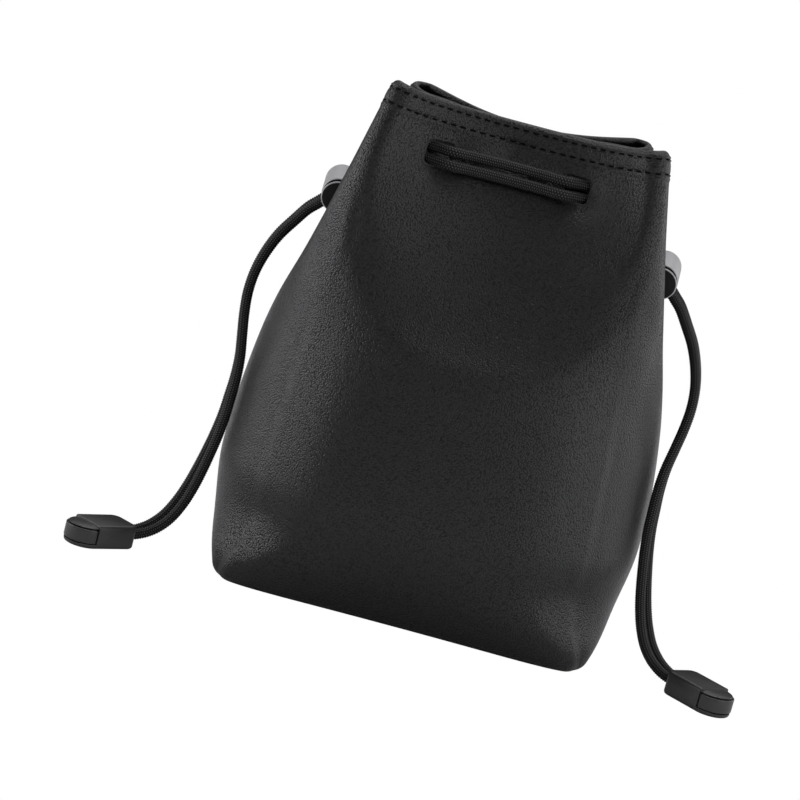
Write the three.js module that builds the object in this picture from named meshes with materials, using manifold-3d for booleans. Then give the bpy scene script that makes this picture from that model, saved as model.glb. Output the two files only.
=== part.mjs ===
// Drawstring camera pouch: a soft synthetic-leather bag on a flat boxed base, lined with plush.
// Two braided drawcords run round the mouth and leave it at opposite sides, each through a barrel
// lock, and each pair of tails ends in a clip-on cord end that lies on the ground.
// Millimetres, +Z up, the front of the bag faces -Y, the origin is the middle of the base.

import * as THREE from 'three';
import { mergeVertices } from 'three/addons/utils/BufferGeometryUtils.js';
import Module from 'manifold-3d';

const wasm = await Module();
wasm.setup();

// Bag body
const BAG_HEIGHT = 180;
const BASE_WIDTH = 133;
const BASE_DEPTH = 80;
const BASE_EDGE_RADIUS = 3;
const BELLY_LEVEL = 42;
const BELLY_WIDTH = 151;
const BELLY_DEPTH = 117;
const SHOULDER_LEVEL = 84;
const SHOULDER_WIDTH = 143.5;
const SHOULDER_DEPTH = 111;
const CHEST_LEVEL = 118;
const CHEST_WIDTH = 126;
const CHEST_DEPTH = 94;
const NECK_LEVEL = 150;
const NECK_WIDTH = 109.5;
const NECK_DEPTH = 74;
const RIM_WIDTH = 97;
const RIM_DEPTH = 54;

// Squareness of each level: 2 is an ellipse, and higher numbers come nearer to a rectangle
const BASE_SQUARENESS = 8;
const BELLY_SQUARENESS = 2.6;
const SHOULDER_SQUARENESS = 2.6;
const CHEST_SQUARENESS = 3;
const NECK_SQUARENESS = 3.6;
const RIM_SQUARENESS = 4;

// Flare of the base corners up to the belly
const FLARE_LEVEL = 16;
const FLARE_WIDTH = 143.5;
const FLARE_DEPTH = 101;
const FLARE_SQUARENESS = 4.8;

// Folds that the drawcords pull into the mouth: four rolled corners, with the front and back dipped
// and the sides tucked between them
const ROLL_RADIUS = 5.5;
const ROLL_TO_FRONT = THREE.MathUtils.degToRad(-130);
const ROLL_TO_SIDE = THREE.MathUtils.degToRad(50);
const ROLL_SHARE = 0.28;
const DIP_DEPTH = 13;
const DIP_START = 98;
const DIP_EASE = 0.45;
const TUCK_DEPTH = 21;
const TUCK_START = 88;
const TUCK_EASE = 0.4;
const ROLL_START = 123;
const FOLDS_FULL = 172;
const BACK_TAPER = 0.115;
const TAPER_START = 100;
const RIM_DROP_START = 140;
const FRONT_RIM_DROP = 4;
const FRONT_DROP_EASE = 1.5;
const BACK_RIM_DROP = 6.6;
const BACK_DROP_EASE = 4;
const BACK_CORNER_DROP = 2.4;
const SIDE_RIM_DROP = 5;
const SIDE_DROP_REACH = 0.5;

// Layers of the wall and of the base
const LEATHER = 1.4;
const LINING = 1;
const GAP = 0.3;
const LIP_HEIGHT = 3;
const LIP_LEDGE = 0.1;
const BOARD = 2;
const BASE_PLUSH = 1.5;

// Openings for the cords
const SLOT_SPACING = 48;
const SLOT_SHIFT = -3;
const SLOT_BELOW_RIM = 20.8;
const SLOT_WIDTH = 9.4;
const SLOT_HEIGHT = 9.8;
const SLOT_CORNER = 1.5;
const SIDE_HOLE_Y = 5.2;
const SIDE_HOLE_BELOW_RIM = 21.8;
const SIDE_HOLE_WIDTH = 7.6;
const SIDE_HOLE_HEIGHT = 10;
const SIDE_HOLE_CORNER = 2;

// Cords
const CORD = 3.8;
const CORD_SIDES = 8;
const CORD_RISE = 2.15;
const PAIR_SPACING = 4.1;
const HOLE_APPROACH = 5;
const HOLE_ENTRY = 1;
const HOLE_ENTRY_RISE = 1.6;
const PASSING_RISE = 1.2;
const PASSING_INSET = 1;
const LOOP_STEPS = 42;
const TAIL_STEPS = 20;

// Cord locks
const LOCK_CENTRE = new THREE.Vector3(-57.95, 1.85, 135.9);
const LOCK_AXIS = new THREE.Vector3(0.05, -0.975, -0.2).normalize();
const BARREL_RADIUS = 5.9;
const BARREL_LENGTH = 18.2;
const BARREL_BORE_RADIUS = 4.5;
const BARREL_FLOOR = 1.4;
const BARREL_END_FILLET = 2.4;
const CROSS_SLOT_WIDTH = 4.6;
const CROSS_SLOT_CORNER = 1.9;
const PLUNGER_STROKE = 2;
const PLUNGER_NOSE = 1.4;
const HEAD_RADIUS = 5.75;
const HEAD_THICKNESS = 1.2;
const HEAD_CHAMFER = 0.4;
const SPRING_LENGTH = 4.7;
const SPRING_WIRE = 0.7;
const SPRING_RADIUS = 3.5;
const SPRING_CURLS = 3.5;

// Cord ends
const END_FACE = new THREE.Vector3(-98.9, -24, 0);
const END_HEADING = new THREE.Vector3(-0.675, -0.738, 0).normalize();
const END_LENGTH = 25;
const END_WIDTH = 14;
const END_HEIGHT = 8.4;
const END_CORNER = 2.6;
const END_LEAST_CORNER = 0.5;
const END_EDGE = 0.7;
const END_NECK = 5;
const END_STEP_FROM_TIP = 7.6;
const END_STEP = 0.5;
const END_STEP_SLOPE = 0.07;
const BAND_HEIGHT = 6;
const BAND_LENGTH = 7.2;
const BAND_PROUD = 0.35;
const BAND_GROOVE = 1.6;
const CAVITY_WIDTH = 9;
const CAVITY_HEIGHT = 5.6;
const PLUG_LENGTH = 7;
const BEAD_WIDTH = 8.7;
const BEAD_HEIGHT = 5;
const BEAD_LENGTH = 4.5;

// Faces along curves
const SIDE_COLUMNS = 6;
const FINE_COLUMNS = 24;
const CORNER_CROWDING = 1.3;
const ROUND_SEGMENTS = 18;
const ARC_SEGMENTS = 6;
const FILLET_STEPS = 4;
const HOLE_SEGMENTS = 2;
const FACET_CLEAR = 1.15;
const EDGE_STEP = 0.01;

// Values that follow from the sizes
const CORD_RADIUS = CORD / 2;
const WALL = LEATHER + GAP + LINING;
const LINING_TOP = BAG_HEIGHT - LIP_HEIGHT - GAP;
const SLOT_LEVEL = BAG_HEIGHT - SLOT_BELOW_RIM;
const SIDE_HOLE_LEVEL = BAG_HEIGHT - SIDE_HOLE_BELOW_RIM;
const CORD_CLEAR = CORD_RADIUS + GAP;
const PAIR_HALF = PAIR_SPACING / 2;
const END_MID = END_HEIGHT / 2;

const STATIONS = [
  { level: 0, width: BASE_WIDTH, depth: BASE_DEPTH, square: BASE_SQUARENESS },
  { level: FLARE_LEVEL, width: FLARE_WIDTH, depth: FLARE_DEPTH, square: FLARE_SQUARENESS },
  { level: BELLY_LEVEL, width: BELLY_WIDTH, depth: BELLY_DEPTH, square: BELLY_SQUARENESS },
  { level: SHOULDER_LEVEL, width: SHOULDER_WIDTH, depth: SHOULDER_DEPTH, square: SHOULDER_SQUARENESS },
  { level: CHEST_LEVEL, width: CHEST_WIDTH, depth: CHEST_DEPTH, square: CHEST_SQUARENESS },
  { level: NECK_LEVEL, width: NECK_WIDTH, depth: NECK_DEPTH, square: NECK_SQUARENESS },
  { level: BAG_HEIGHT, width: RIM_WIDTH, depth: RIM_DEPTH, square: RIM_SQUARENESS },
];

const { smoothstep, lerp } = THREE.MathUtils;

// Materials
const leather = new THREE.MeshStandardMaterial({ color: 0x1d1d1e, roughness: 0.55, metalness: 0 });
const plush = new THREE.MeshStandardMaterial({ color: 0x161617, roughness: 0.95, metalness: 0 });
const board = new THREE.MeshStandardMaterial({ color: 0x4a4742, roughness: 0.9, metalness: 0 });
const braid = new THREE.MeshStandardMaterial({ color: 0x121213, roughness: 0.8, metalness: 0 });
const gunmetal = new THREE.MeshStandardMaterial({ color: 0x8c8d8f, roughness: 0.4, metalness: 0.8 });
const plastic = new THREE.MeshStandardMaterial({ color: 0x151516, roughness: 0.38, metalness: 0 });
const steel = new THREE.MeshStandardMaterial({ color: 0xb8b9bb, roughness: 0.3, metalness: 1 });

// Solids and meshes

function signedVolume(geometry) {
  const place = geometry.getAttribute('position');
  const index = geometry.getIndex();
  const [a, b, c] = [new THREE.Vector3(), new THREE.Vector3(), new THREE.Vector3()];
  let volume = 0;
  for (let i = 0; i < index.count; i += 3) {
    a.fromBufferAttribute(place, index.getX(i));
    b.fromBufferAttribute(place, index.getX(i + 1));
    c.fromBufferAttribute(place, index.getX(i + 2));
    volume += a.dot(b.cross(c)) / 6;
  }
  return volume;
}

function solidOf(source) {
  const bare = source.clone();
  bare.deleteAttribute('normal');
  bare.deleteAttribute('uv');
  const welded = mergeVertices(bare, 1e-4);
  const triVerts = Uint32Array.from(welded.getIndex().array);
  if (signedVolume(welded) < 0) {
    for (let i = 0; i < triVerts.length; i += 3) {
      [triVerts[i + 1], triVerts[i + 2]] = [triVerts[i + 2], triVerts[i + 1]];
    }
  }
  const vertProperties = Float32Array.from(welded.getAttribute('position').array);
  return new wasm.Manifold(new wasm.Mesh({ numProp: 3, vertProperties, triVerts }));
}

function geometryOf(solid) {
  const { vertProperties, triVerts } = solid.getMesh();
  const geometry = new THREE.BufferGeometry();
  geometry.setAttribute('position', new THREE.BufferAttribute(Float32Array.from(vertProperties), 3));
  geometry.setIndex(new THREE.BufferAttribute(Uint32Array.from(triVerts), 1));
  geometry.computeVertexNormals();
  return geometry;
}

const pouch = new THREE.Group();

function addPiece(name, solid, material, parent = pouch) {
  const piece = new THREE.Mesh(geometryOf(solid), material);
  piece.name = name;
  parent.add(piece);
}

function extruded(shape, depth, options = {}) {
  const plain = { depth, bevelEnabled: false, curveSegments: ARC_SEGMENTS };
  return new THREE.ExtrudeGeometry(shape, { ...plain, ...options });
}

// Shape of the bag at each level

function profileAt(key, level) {
  const last = STATIONS.length - 1;
  const slopeAt = (k) => {
    const before = STATIONS[Math.max(k - 1, 0)];
    const after = STATIONS[Math.min(k + 1, last)];
    return (after[key] - before[key]) / (after.level - before.level);
  };
  let i = 0;
  while (i < last - 1 && level > STATIONS[i + 1].level) i += 1;
  const span = STATIONS[i + 1].level - STATIONS[i].level;
  const t = (level - STATIONS[i].level) / span;
  const rise = t * t * (3 - 2 * t);
  return lerp(STATIONS[i][key], STATIONS[i + 1][key], rise)
    + span * slopeAt(i) * t * (1 - t) * (1 - t)
    - span * slopeAt(i + 1) * t * t * (1 - t);
}

// Outline of the cinched mouth in the quarter of positive x and negative y, from the middle of the
// front (u of 0) round the rolled corner (u of 1) to the middle of the side (u of 2)
function mouthSpot(u, halfWidth, halfDepth) {
  const centre = new THREE.Vector2(halfWidth - ROLL_RADIUS, ROLL_RADIUS - halfDepth);
  const onRoll = (turn) => new THREE.Vector2(Math.cos(turn), Math.sin(turn));
  const heading = (turn) => new THREE.Vector2(-Math.sin(turn), Math.cos(turn));
  const pointOnRoll = (turn) => centre.clone().addScaledVector(onRoll(turn), ROLL_RADIUS);
  const run = 1 - ROLL_SHARE;
  const pace = ROLL_RADIUS * (ROLL_TO_SIDE - ROLL_TO_FRONT) / (2 * ROLL_SHARE);
  const handle = pace * run / 3;
  if (u < run) {
    const from = new THREE.Vector2(0, DIP_DEPTH - halfDepth);
    const to = pointOnRoll(ROLL_TO_FRONT);
    const flat = new THREE.Vector2(DIP_EASE * from.distanceTo(to), 0).add(from);
    const beforeRoll = to.clone().addScaledVector(heading(ROLL_TO_FRONT), -handle);
    return new THREE.CubicBezierCurve(from, flat, beforeRoll, to).getPoint(u / run);
  }
  if (u > 2 - run) {
    const from = pointOnRoll(ROLL_TO_SIDE);
    const to = new THREE.Vector2(halfWidth - TUCK_DEPTH, 0);
    const afterRoll = from.clone().addScaledVector(heading(ROLL_TO_SIDE), handle);
    const straight = new THREE.Vector2(0, -TUCK_EASE * from.distanceTo(to)).add(to);
    return new THREE.CubicBezierCurve(from, afterRoll, straight, to).getPoint((u - 2 + run) / run);
  }
  return pointOnRoll(lerp(ROLL_TO_FRONT, ROLL_TO_SIDE, (u - run) / (2 * ROLL_SHARE)));
}

// A spot on the wall is named by a point on the edge of a square from -1 to 1: y of -1 is the
// front, y of 1 the back, and x of -1 and 1 are the sides. Low down the outline is a rounded
// rectangle, and the folds take over towards the rim.
function foldedSpot(edge, level) {
  const halfWidth = profileAt('width', level) / 2;
  const halfDepth = profileAt('depth', level) / 2;
  const square = profileAt('square', level);
  const reach = (Math.abs(edge.x) ** square + Math.abs(edge.y) ** square) ** (1 / square);
  const round = new THREE.Vector2(edge.x * halfWidth, edge.y * halfDepth).divideScalar(reach);
  const facing = Math.abs(edge.y) >= Math.abs(edge.x);
  const u = facing ? Math.abs(edge.x) : 2 - Math.abs(edge.y);
  const start = lerp(facing ? DIP_START : TUCK_START, ROLL_START, (1 - Math.cos(Math.PI * u)) / 2);
  const folded = mouthSpot(u, halfWidth, halfDepth);
  folded.set(folded.x * (edge.x < 0 ? -1 : 1), -folded.y * (edge.y < 0 ? -1 : 1));
  return round.lerp(folded, smoothstep(level, start, FOLDS_FULL));
}

// Spots from the middle of the left side round the front to the middle of the right side, crowded
// towards the corners where the wall bends most
function edgeRow(columnsPerSide) {
  const crowded = (u) => 1 - (1 - u) ** CORNER_CROWDING;
  const row = [];
  for (let i = 0; i <= 4 * columnsPerSide; i += 1) {
    const u = i / columnsPerSide - 2;
    const fromCorner = crowded(1 - Math.abs(Math.abs(u) - 1));
    const x = Math.abs(u) < 1 ? Math.sign(u) * crowded(Math.abs(u)) : Math.sign(u);
    const y = Math.abs(u) < 1 ? -1 : -fromCorner;
    row.push(new THREE.Vector2(x, y));
  }
  return row;
}

// The folds move the outline, so each level is scaled back to its stated width and depth.
const levelScales = new Map();

function scaleAt(level) {
  if (!levelScales.has(level)) {
    const spots = edgeRow(FINE_COLUMNS).map((edge) => foldedSpot(edge, level));
    const width = 2 * Math.max(...spots.map((spot) => Math.abs(spot.x)));
    const depth = 2 * Math.max(...spots.map((spot) => Math.abs(spot.y)));
    const scale = new THREE.Vector2(profileAt('width', level) / width, profileAt('depth', level) / depth);
    levelScales.set(level, scale);
  }
  return levelScales.get(level);
}

function planSpot(edge, level) {
  const spot = foldedSpot(edge, level).multiply(scaleAt(level));
  const backward = (1 + 2 * spot.y / profileAt('depth', level)) / 2;
  spot.x *= 1 - BACK_TAPER * smoothstep(level, TAPER_START, BAG_HEIGHT) * backward;
  return spot;
}

// How far the rim hangs below the front corners: least at the corners, more between them
function rimDrop(edge, level) {
  const front = edge.y < 0;
  const [drop, ease] = front ? [FRONT_RIM_DROP, FRONT_DROP_EASE] : [BACK_RIM_DROP, BACK_DROP_EASE];
  const corner = front ? 0 : BACK_CORNER_DROP;
  const middle = Math.max(0, 1 - edge.x * edge.x) ** ease;
  const tucked = smoothstep(1 - Math.abs(edge.y), 0, SIDE_DROP_REACH);
  const rim = Math.abs(edge.x) < 1 ? lerp(corner, drop, middle) : lerp(corner, SIDE_RIM_DROP, tucked);
  return rim * smoothstep(level, RIM_DROP_START, BAG_HEIGHT);
}

// A step along the square's edge, anticlockwise seen from above
function stepAlong(edge, step) {
  const onSide = Math.abs(edge.x) > Math.abs(edge.y);
  const turn = onSide ? new THREE.Vector2(0, Math.sign(edge.x)) : new THREE.Vector2(-Math.sign(edge.y), 0);
  return edge.clone().addScaledVector(turn, step);
}

// Point of the wall, inset from the outer face
function wallPoint(edge, level, inset) {
  const ahead = planSpot(stepAlong(edge, EDGE_STEP), level);
  const behind = planSpot(stepAlong(edge, -EDGE_STEP), level);
  const inward = new THREE.Vector2(behind.y - ahead.y, ahead.x - behind.x).normalize();
  const low = Math.max(0, BASE_EDGE_RADIUS - level);
  const rounding = BASE_EDGE_RADIUS - Math.sqrt(BASE_EDGE_RADIUS ** 2 - low ** 2);
  const spot = planSpot(edge, level).addScaledVector(inward, inset + rounding);
  return new THREE.Vector3(spot.x, spot.y, level - rimDrop(edge, level));
}

// Point of the front or back wall at a given x and height, or of a side wall at a given y
function wallAt({ x, y, front, right, height, inset }) {
  const byX = x !== undefined;
  let low = -1;
  let high = 1;
  let point;
  for (let i = 0; i < 40; i += 1) {
    const middle = (low + high) / 2;
    const edge = byX ? new THREE.Vector2(middle, front ? -1 : 1) : new THREE.Vector2(right ? 1 : -1, middle);
    let level = height;
    for (let k = 0; k < 4; k += 1) level = height + rimDrop(edge, level);
    point = wallPoint(edge, level, inset);
    const over = byX ? point.x > x : point.y > y;
    if (over) high = middle;
    else low = middle;
  }
  return point;
}

// Walls of leather and lining

function wallShell(levels, outerInset, innerInsetAt, front) {
  const turn = front ? 1 : -1;
  const edges = edgeRow(SIDE_COLUMNS).map((edge) => edge.multiplyScalar(turn));
  const columns = edges.length;
  const rows = levels.length;
  const places = [];
  const addFace = (insetAt) => levels.forEach((level) => edges.forEach((edge, c) => {
    const point = wallPoint(edge, level, insetAt(level));
    if (c === 0 || c === columns - 1) point.y = -turn * GAP / 2;
    places.push(point.x, point.y, point.z);
  }));
  addFace(() => outerInset);
  addFace(innerInsetAt);
  const outer = (r, c) => r * columns + c;
  const inner = (r, c) => rows * columns + r * columns + c;
  const faces = [];
  const quad = (a, b, c, d) => faces.push(a, b, c, a, c, d);
  for (let r = 0; r < rows - 1; r += 1) {
    for (let c = 0; c < columns - 1; c += 1) {
      quad(outer(r, c), outer(r, c + 1), outer(r + 1, c + 1), outer(r + 1, c));
      quad(inner(r, c), inner(r + 1, c), inner(r + 1, c + 1), inner(r, c + 1));
    }
    quad(inner(r, 0), outer(r, 0), outer(r + 1, 0), inner(r + 1, 0));
    quad(outer(r, columns - 1), inner(r, columns - 1), inner(r + 1, columns - 1), outer(r + 1, columns - 1));
  }
  for (let c = 0; c < columns - 1; c += 1) {
    quad(inner(0, c), inner(0, c + 1), outer(0, c + 1), outer(0, c));
    quad(outer(rows - 1, c), outer(rows - 1, c + 1), inner(rows - 1, c + 1), inner(rows - 1, c));
  }
  const geometry = new THREE.BufferGeometry();
  geometry.setAttribute('position', new THREE.BufferAttribute(Float32Array.from(places), 3));
  geometry.setIndex(faces);
  return solidOf(geometry);
}

function roundedBox(width, height, corner) {
  const dx = width / 2 - corner;
  const dy = height / 2 - corner;
  const shape = new THREE.Shape();
  shape.absarc(dx, dy, corner, 0, Math.PI / 2);
  shape.absarc(-dx, dy, corner, Math.PI / 2, Math.PI);
  shape.absarc(-dx, -dy, corner, Math.PI, 1.5 * Math.PI);
  shape.absarc(dx, -dy, corner, 1.5 * Math.PI, 2 * Math.PI);
  return shape;
}

// A hole's cutter: its outline pushed along z
function holeCutter(outline, depth) {
  return extruded(outline, depth, { curveSegments: HOLE_SEGMENTS });
}

const slotX = (side) => SLOT_SHIFT + side * SLOT_SPACING / 2;

function cordOpenings() {
  const slotOutline = roundedBox(SLOT_WIDTH, SLOT_HEIGHT, SLOT_CORNER);
  const holeOutline = roundedBox(SIDE_HOLE_WIDTH, SIDE_HOLE_HEIGHT, SIDE_HOLE_CORNER);
  const cutters = [];
  for (const side of [-1, 1]) {
    const slot = holeCutter(slotOutline, BELLY_DEPTH).translate(0, 0, -BELLY_DEPTH / 2);
    slot.rotateX(Math.PI / 2).translate(slotX(side), 0, SLOT_LEVEL);
    cutters.push(solidOf(slot));
    for (const half of [-1, 1]) {
      const hole = holeCutter(holeOutline, BELLY_WIDTH / 4);
      hole.rotateX(Math.PI / 2).rotateZ(side * Math.PI / 2);
      hole.translate(side * RIM_WIDTH / 4, half * SIDE_HOLE_Y, SIDE_HOLE_LEVEL);
      cutters.push(solidOf(hole));
    }
  }
  return cutters;
}

const openings = cordOpenings();
const cutOpenings = (shell) => openings.reduce((left, cutter) => left.subtract(cutter), shell);

const lipStart = BAG_HEIGHT - LIP_HEIGHT;
const lipInsetAt = (level) => (level < lipStart ? LEATHER : WALL);
const wallLevels = [BASE_EDGE_RADIUS];
STATIONS.slice(1).forEach((station, i) => {
  if (i > 0) wallLevels.push((STATIONS[i].level + station.level) / 2);
  if (station.level < BAG_HEIGHT) wallLevels.push(station.level);
});
const panelLevels = [0, BASE_EDGE_RADIUS / 4, ...wallLevels, lipStart - LIP_LEDGE, lipStart, BAG_HEIGHT];
const liningLevels = [...wallLevels, LINING_TOP];

for (const [name, front] of [['front', true], ['back', false]]) {
  const panel = wallShell(panelLevels, 0, lipInsetAt, front);
  addPiece(`${name}_panel`, cutOpenings(panel), leather);
  const lining = wallShell(liningLevels, LEATHER + GAP, () => WALL, front);
  addPiece(`${name}_lining`, cutOpenings(lining), plush);
}

// Base: leather, stiffener board and plush, each a plate inside the walls

function basePlate(bottom, thickness, inset) {
  const front = edgeRow(SIDE_COLUMNS).slice(0, -1);
  const edges = [...front, ...front.map((edge) => edge.clone().negate())];
  const spots = edges.map((edge) => wallPoint(edge, bottom, inset));
  const plate = extruded(new THREE.Shape(spots.map((spot) => new THREE.Vector2(spot.x, spot.y))), thickness);
  return solidOf(plate.translate(0, 0, bottom));
}

const boardBottom = LEATHER + GAP;
const basePlushBottom = boardBottom + BOARD + GAP;
addPiece('base_panel', basePlate(0, LEATHER, LEATHER + GAP), leather);
addPiece('base_board', basePlate(boardBottom, BOARD, WALL + GAP), board);
addPiece('base_lining', basePlate(basePlushBottom, BASE_PLUSH, WALL + GAP), plush);

// Cords

function cordSection() {
  const corners = [];
  for (let i = 0; i < CORD_SIDES; i += 1) {
    const turn = 2 * Math.PI * i / CORD_SIDES;
    corners.push(new THREE.Vector2(Math.cos(turn), Math.sin(turn)).multiplyScalar(CORD_RADIUS));
  }
  return new THREE.Shape(corners);
}

function cordTube(points, steps) {
  const extrudePath = new THREE.CatmullRomCurve3(points);
  return solidOf(new THREE.ExtrudeGeometry(cordSection(), { steps, extrudePath, bevelEnabled: false }));
}

const mirrored = (point, side) => new THREE.Vector3(-side * point.x, point.y, point.z);

// Cord direction through the lock: outwards and down, square to the barrel
const tailHeading = new THREE.Vector3(-0.7, 0, -0.71);
tailHeading.y = -(tailHeading.x * LOCK_AXIS.x + tailHeading.z * LOCK_AXIS.z) / LOCK_AXIS.y;
tailHeading.normalize();

// Route of the left pair of tails: the middle of the pair, then half the spacing of its front tail.
// A turn of 0 degrees puts the front tail straight in front of the back one.
const mouthEnd = new THREE.Vector3(-40.2, 0, 154.6);
const lockSpread = LOCK_AXIS.clone().multiplyScalar(PAIR_HALF);
const endSpread = new THREE.Vector3(-END_HEADING.y, END_HEADING.x, 0).multiplyScalar(PAIR_HALF);
const alongLock = (t) => [LOCK_CENTRE.clone().addScaledVector(tailHeading, t), lockSpread];
const alongEnd = (t) => [END_FACE.clone().setZ(END_MID).addScaledVector(END_HEADING, t), endSpread];
const hanging = (x, y, z, turn) => {
  const angle = THREE.MathUtils.degToRad(turn);
  const spread = new THREE.Vector3(Math.sin(angle), -Math.cos(angle), 0).multiplyScalar(PAIR_HALF);
  return [new THREE.Vector3(x, y, z), spread];
};
const tailRoute = [
  [mouthEnd, new THREE.Vector3(0, -4.2, 0)],
  [LOCK_CENTRE.clone().addScaledVector(tailHeading, -14.5), new THREE.Vector3(0, -2.4, -0.2)],
  ...[-9, -4.5, 0, 4.5, 9, 13].map(alongLock),
  hanging(-70.8, 3.6, 121.2, 10),
  hanging(-74.6, 1.9, 115.2, 9),
  hanging(-77.4, -1, 108.5, 7),
  hanging(-79.1, -4.1, 101.5, 5),
  hanging(-79.5, -7, 94.5, 5),
  hanging(-78.8, -9.5, 87.5, 5),
  hanging(-77.5, -12.2, 80.5, 7),
  hanging(-76.1, -15, 73, 9),
  hanging(-75.6, -17.2, 66, 12),
  hanging(-75.8, -18.4, 59, 15),
  hanging(-76.2, -18.6, 52, 18),
  hanging(-77.1, -18.2, 45, 22),
  hanging(-78.4, -17.2, 38, 26),
  hanging(-79.9, -16, 31, 31),
  hanging(-81.7, -15, 24, 36),
  hanging(-84, -14.8, 17.3, 40),
  hanging(-87, -15.8, 11.4, 43),
  hanging(-90.5, -17.6, 7.4, 45),
  hanging(-94, -20, 5.2, 46),
  ...[-3, 1.5, END_NECK].map(alongEnd),
];

function addTails(name, side) {
  for (const [end, way] of [['front', 1], ['back', -1]]) {
    const left = tailRoute.map(([middle, spread]) => middle.clone().addScaledVector(spread, way));
    const points = left.map((point) => mirrored(point, side));
    addPiece(`${name}_tail_${end}`, cordTube(points, TAIL_STEPS), braid);
  }
}

// Run of one cord round the mouth, from the holes of its own side and back to them: in through the
// side hole, out and in again at the slots, past the far side, and the same way round the back.
function loopQuarter(front, right, height, leaves) {
  const way = front ? -1 : 1;
  const hand = right ? 1 : -1;
  const facing = (past, inset) => wallAt({ x: slotX(hand) + hand * past, front, height, inset });
  const beside = (y, z, inset) => wallAt({ y: way * y, right, height: z, inset });
  const outside = -CORD_CLEAR - FACET_CLEAR;
  const inside = WALL + CORD_CLEAR + FACET_CLEAR;
  const slotEdge = SLOT_WIDTH / 2;
  const points = [
    wallAt({ x: SLOT_SHIFT, front, height, inset: outside }),
    facing(-SLOT_SPACING / 4, outside),
    facing(-slotEdge, outside),
    facing(0, WALL / 2),
    facing(slotEdge, inside),
  ];
  if (leaves) {
    const [first, second] = tailRoute.slice(0, 2).map(([middle, spread]) => {
      const tail = middle.clone().addScaledVector(spread, -way);
      return mirrored(tail, hand);
    });
    const back = first.clone().sub(second).normalize();
    points.push(beside(SIDE_HOLE_Y + HOLE_APPROACH, height, inside));
    points.push(beside(SIDE_HOLE_Y + HOLE_ENTRY, SIDE_HOLE_LEVEL + HOLE_ENTRY_RISE, WALL));
    points.push(first.clone().addScaledVector(back, CORD));
    points.push(first.addScaledVector(back, GAP));
  } else {
    const passing = height + Math.sign(height - SLOT_LEVEL) * PASSING_RISE;
    points.push(beside(SIDE_HOLE_Y + HOLE_APPROACH, passing, inside + PASSING_INSET));
    points.push(beside(0, passing, inside + PASSING_INSET));
  }
  return points;
}

function addLoop(name, side, height) {
  const right = side > 0;
  const ownFront = loopQuarter(true, right, height, true).reverse();
  const farFront = loopQuarter(true, !right, height, false).slice(1);
  const farBack = loopQuarter(false, !right, height, false).reverse().slice(1);
  const ownBack = loopQuarter(false, right, height, true).slice(1);
  const points = [...ownFront, ...farFront, ...farBack, ...ownBack];
  addPiece(`${name}_drawcord`, cordTube(points, LOOP_STEPS), braid);
}

addLoop('left', -1, SLOT_LEVEL + CORD_RISE);
addLoop('right', 1, SLOT_LEVEL - CORD_RISE);

// Cord locks: a barrel with a bore and a cross slot, and a plunger that a spring pushes outwards,
// so that the plunger's window pinches both cords against the end of the slot.

const pairReach = PAIR_HALF + CORD_RADIUS;
const plungerEnd = BARREL_FLOOR + SPRING_LENGTH + 2 * GAP;
const windowStart = plungerEnd + PLUNGER_NOSE;
const pairCentre = windowStart + GAP + pairReach;
const windowEnd = pairCentre + pairReach + GAP + PLUNGER_STROKE;
const headStart = BARREL_LENGTH + PLUNGER_STROKE + GAP;

function turned(profile) {
  const spots = profile.map(([radius, height]) => new THREE.Vector2(radius, height));
  return solidOf(new THREE.LatheGeometry(spots, ROUND_SEGMENTS).rotateX(Math.PI / 2));
}

function crossCut(from, to) {
  const cut = holeCutter(roundedBox(CROSS_SLOT_WIDTH, to - from, CROSS_SLOT_CORNER), 4 * BARREL_RADIUS);
  cut.translate(0, 0, -2 * BARREL_RADIUS).rotateX(Math.PI / 2).rotateZ(Math.PI / 2);
  return solidOf(cut.translate(0, 0, (from + to) / 2));
}

function barrelSolid() {
  const profile = [[0, 0]];
  for (let i = 0; i <= FILLET_STEPS; i += 1) {
    const turn = Math.PI / 2 * i / FILLET_STEPS;
    profile.push([
      BARREL_RADIUS - BARREL_END_FILLET * (1 - Math.sin(turn)),
      BARREL_END_FILLET * (1 - Math.cos(turn)),
    ]);
  }
  profile.push([BARREL_RADIUS, BARREL_LENGTH - HEAD_CHAMFER], [BARREL_RADIUS - HEAD_CHAMFER, BARREL_LENGTH]);
  profile.push([BARREL_BORE_RADIUS, BARREL_LENGTH], [BARREL_BORE_RADIUS, BARREL_FLOOR], [0, BARREL_FLOOR]);
  return turned(profile).subtract(crossCut(pairCentre - pairReach - GAP, pairCentre + pairReach + GAP));
}

function plungerSolid() {
  const shaft = BARREL_BORE_RADIUS - GAP;
  const headEnd = headStart + HEAD_THICKNESS;
  const profile = [[0, plungerEnd], [shaft, plungerEnd], [shaft, headStart], [HEAD_RADIUS, headStart],
    [HEAD_RADIUS, headEnd - HEAD_CHAMFER], [HEAD_RADIUS - HEAD_CHAMFER, headEnd], [0, headEnd]];
  return turned(profile).subtract(crossCut(windowStart, windowEnd));
}

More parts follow.
